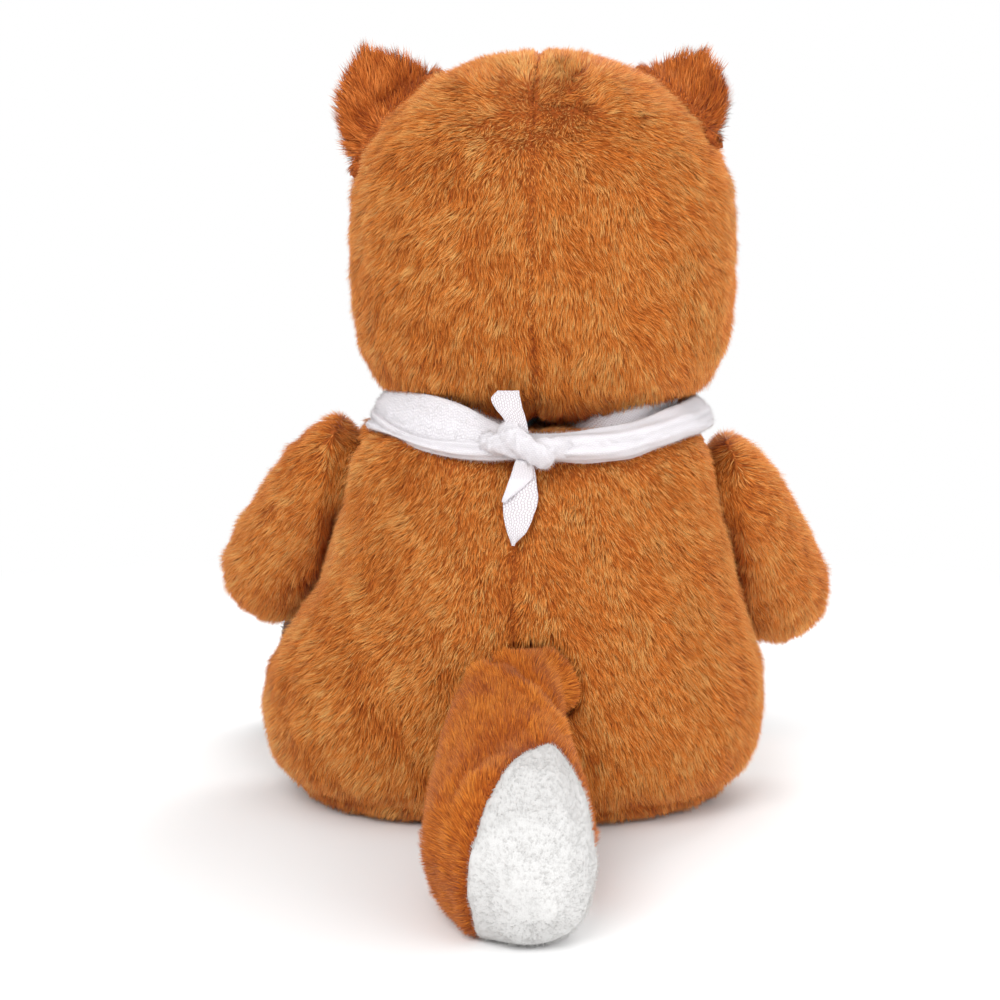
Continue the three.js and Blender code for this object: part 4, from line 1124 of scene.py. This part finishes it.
def fuzz(name, points, faces, count):
    """Short loose fibres that stand off a brushed face."""
    triangles, across = triangles_of(points, faces)
    pick, weights = scatter(norms(across), count)
    facing = unit(across[pick])
    roots = np.einsum("nkc,nk->nc", points[triangles[pick]], weights) + CLOTH_THICKNESS * facing / 2
    heading = unit(FUZZ_RISE * facing + rng.normal(0, FUZZ_STRAY, (count, 3)))
    side = unit(np.cross(heading, facing) + 1e-6)
    tips = roots + rng.uniform(*FUZZ_LENGTH, (count, 1)) * MM * heading
    width = rng.uniform(*FUZZ_WIDTH, count) * MM
    tones = rng.uniform(*FUZZ_TONES, count)
    rows = [roots, tips, side, facing, width, facing, tones]
    return strand_object(name, rows, FUZZ, "torso")


fuzzes = [
    fuzz("neckerchief_fuzz", cloth_points, cloth_faces, 90000),
    fuzz("neckerchief_knot_fuzz", knot_skin.points, knot_skin.faces, 3500),
]


# Camera, lights and floor


# Lamps: place, size and energy
LAMPS = [
    ("key", (0.55, 1.25, 1.15), 1.0, 16.5),
    ("fill", (-1.1, 0.9, 0.6), 1.2, 7.5),
    ("front_key", (-0.5, -1.3, 1.1), 1.0, 17),
]
LAMP_TARGET = Vector((0, 0.02, 0.14))
PAPER = 0.93
PAPER_HALF = 3.0
FADE_START = 0.28
FADE_END = 0.60
WORLD_STRENGTH = 0.7


def make_camera():
    data = bpy.data.cameras.new("camera")
    data.lens = CAMERA_LENS
    data.sensor_width = 36
    camera = linked("camera", data)
    camera.location = CAMERA_PLACE
    camera.rotation_euler = (math.pi / 2 - CAMERA_PITCH, 0, math.pi)
    bpy.context.scene.camera = camera


def make_lamp(name, place, size, energy):
    data = bpy.data.lights.new(name, "AREA")
    data.size = size
    data.energy = energy
    lamp = linked(name, data)
    lamp.location = place
    lamp.rotation_euler = (LAMP_TARGET - Vector(place)).to_track_quat("-Z", "Y").to_euler()


def seen_directly(tree):
    """A socket that is 1 for rays from the camera, and for those through or off a shiny surface."""
    path = tree.nodes.new("ShaderNodeLightPath")
    seen = path.outputs["Is Camera Ray"]
    for kind in ("Is Glossy Ray", "Is Transmission Ray"):
        more = tree.nodes.new("ShaderNodeMath")
        more.operation = "MAXIMUM"
        tree.links.new(seen, more.inputs[0])
        tree.links.new(path.outputs[kind], more.inputs[1])
        seen = more.outputs["Value"]
    return seen


def make_floor():
    """White paper that keeps the shadow near the toy and is plain white further out."""
    graph = Graph("floor_paper")
    graph.complete({"Base Color": (PAPER, PAPER, PAPER, 1), "Roughness": 0.9})
    far = graph.add("ShaderNodeVectorMath", operation="LENGTH")
    graph.join(graph.place(), far.inputs[0])
    fade = graph.add(
        "ShaderNodeMapRange", {"From Min": FADE_START, "From Max": FADE_END},
        interpolation_type="SMOOTHSTEP")
    graph.join(far.outputs["Value"], fade.inputs["Value"])
    share = graph.add("ShaderNodeMath", operation="MULTIPLY")
    graph.join(seen_directly(graph.material.node_tree), share.inputs[0])
    graph.join(fade.outputs["Result"], share.inputs[1])
    plain = graph.add("ShaderNodeEmission")
    mix = graph.add("ShaderNodeMixShader")
    graph.join(share.outputs["Value"], mix.inputs["Fac"])
    graph.join(graph.shader.outputs["BSDF"], mix.inputs[1])
    graph.join(plain.outputs["Emission"], mix.inputs[2])
    graph.join(mix.outputs["Shader"], graph.nodes["Material Output"].inputs["Surface"])
    mesh = bpy.data.meshes.new("floor")
    corners = [(PAPER_HALF * x, PAPER_HALF * y, 0) for x, y in ((-1, -1), (1, -1), (1, 1), (-1, 1))]
    mesh.from_pydata(corners, [], [(0, 1, 2, 3)])
    mesh.materials.append(graph.material)
    linked("floor", mesh)


def make_world():
    """Even soft light, in front of plain white."""
    world = bpy.data.worlds.new("studio")
    world.use_nodes = True
    tree = world.node_tree
    soft = tree.nodes["Background"]
    fill_in(soft, {"Color": (1, 1, 1, 1), "Strength": WORLD_STRENGTH})
    paper = tree.nodes.new("ShaderNodeBackground")
    fill_in(paper, {"Color": (1, 1, 1, 1)})
    mix = tree.nodes.new("ShaderNodeMixShader")
    tree.links.new(seen_directly(tree), mix.inputs["Fac"])
    tree.links.new(soft.outputs["Background"], mix.inputs[1])
    tree.links.new(paper.outputs["Background"], mix.inputs[2])
    tree.links.new(mix.outputs["Shader"], tree.nodes["World Output"].inputs["Surface"])
    bpy.context.scene.world = world


make_camera()
for lamp in LAMPS:
    make_lamp(*lamp)
make_floor()
make_world()
bpy.context.scene.view_settings.view_transform = "Standard"
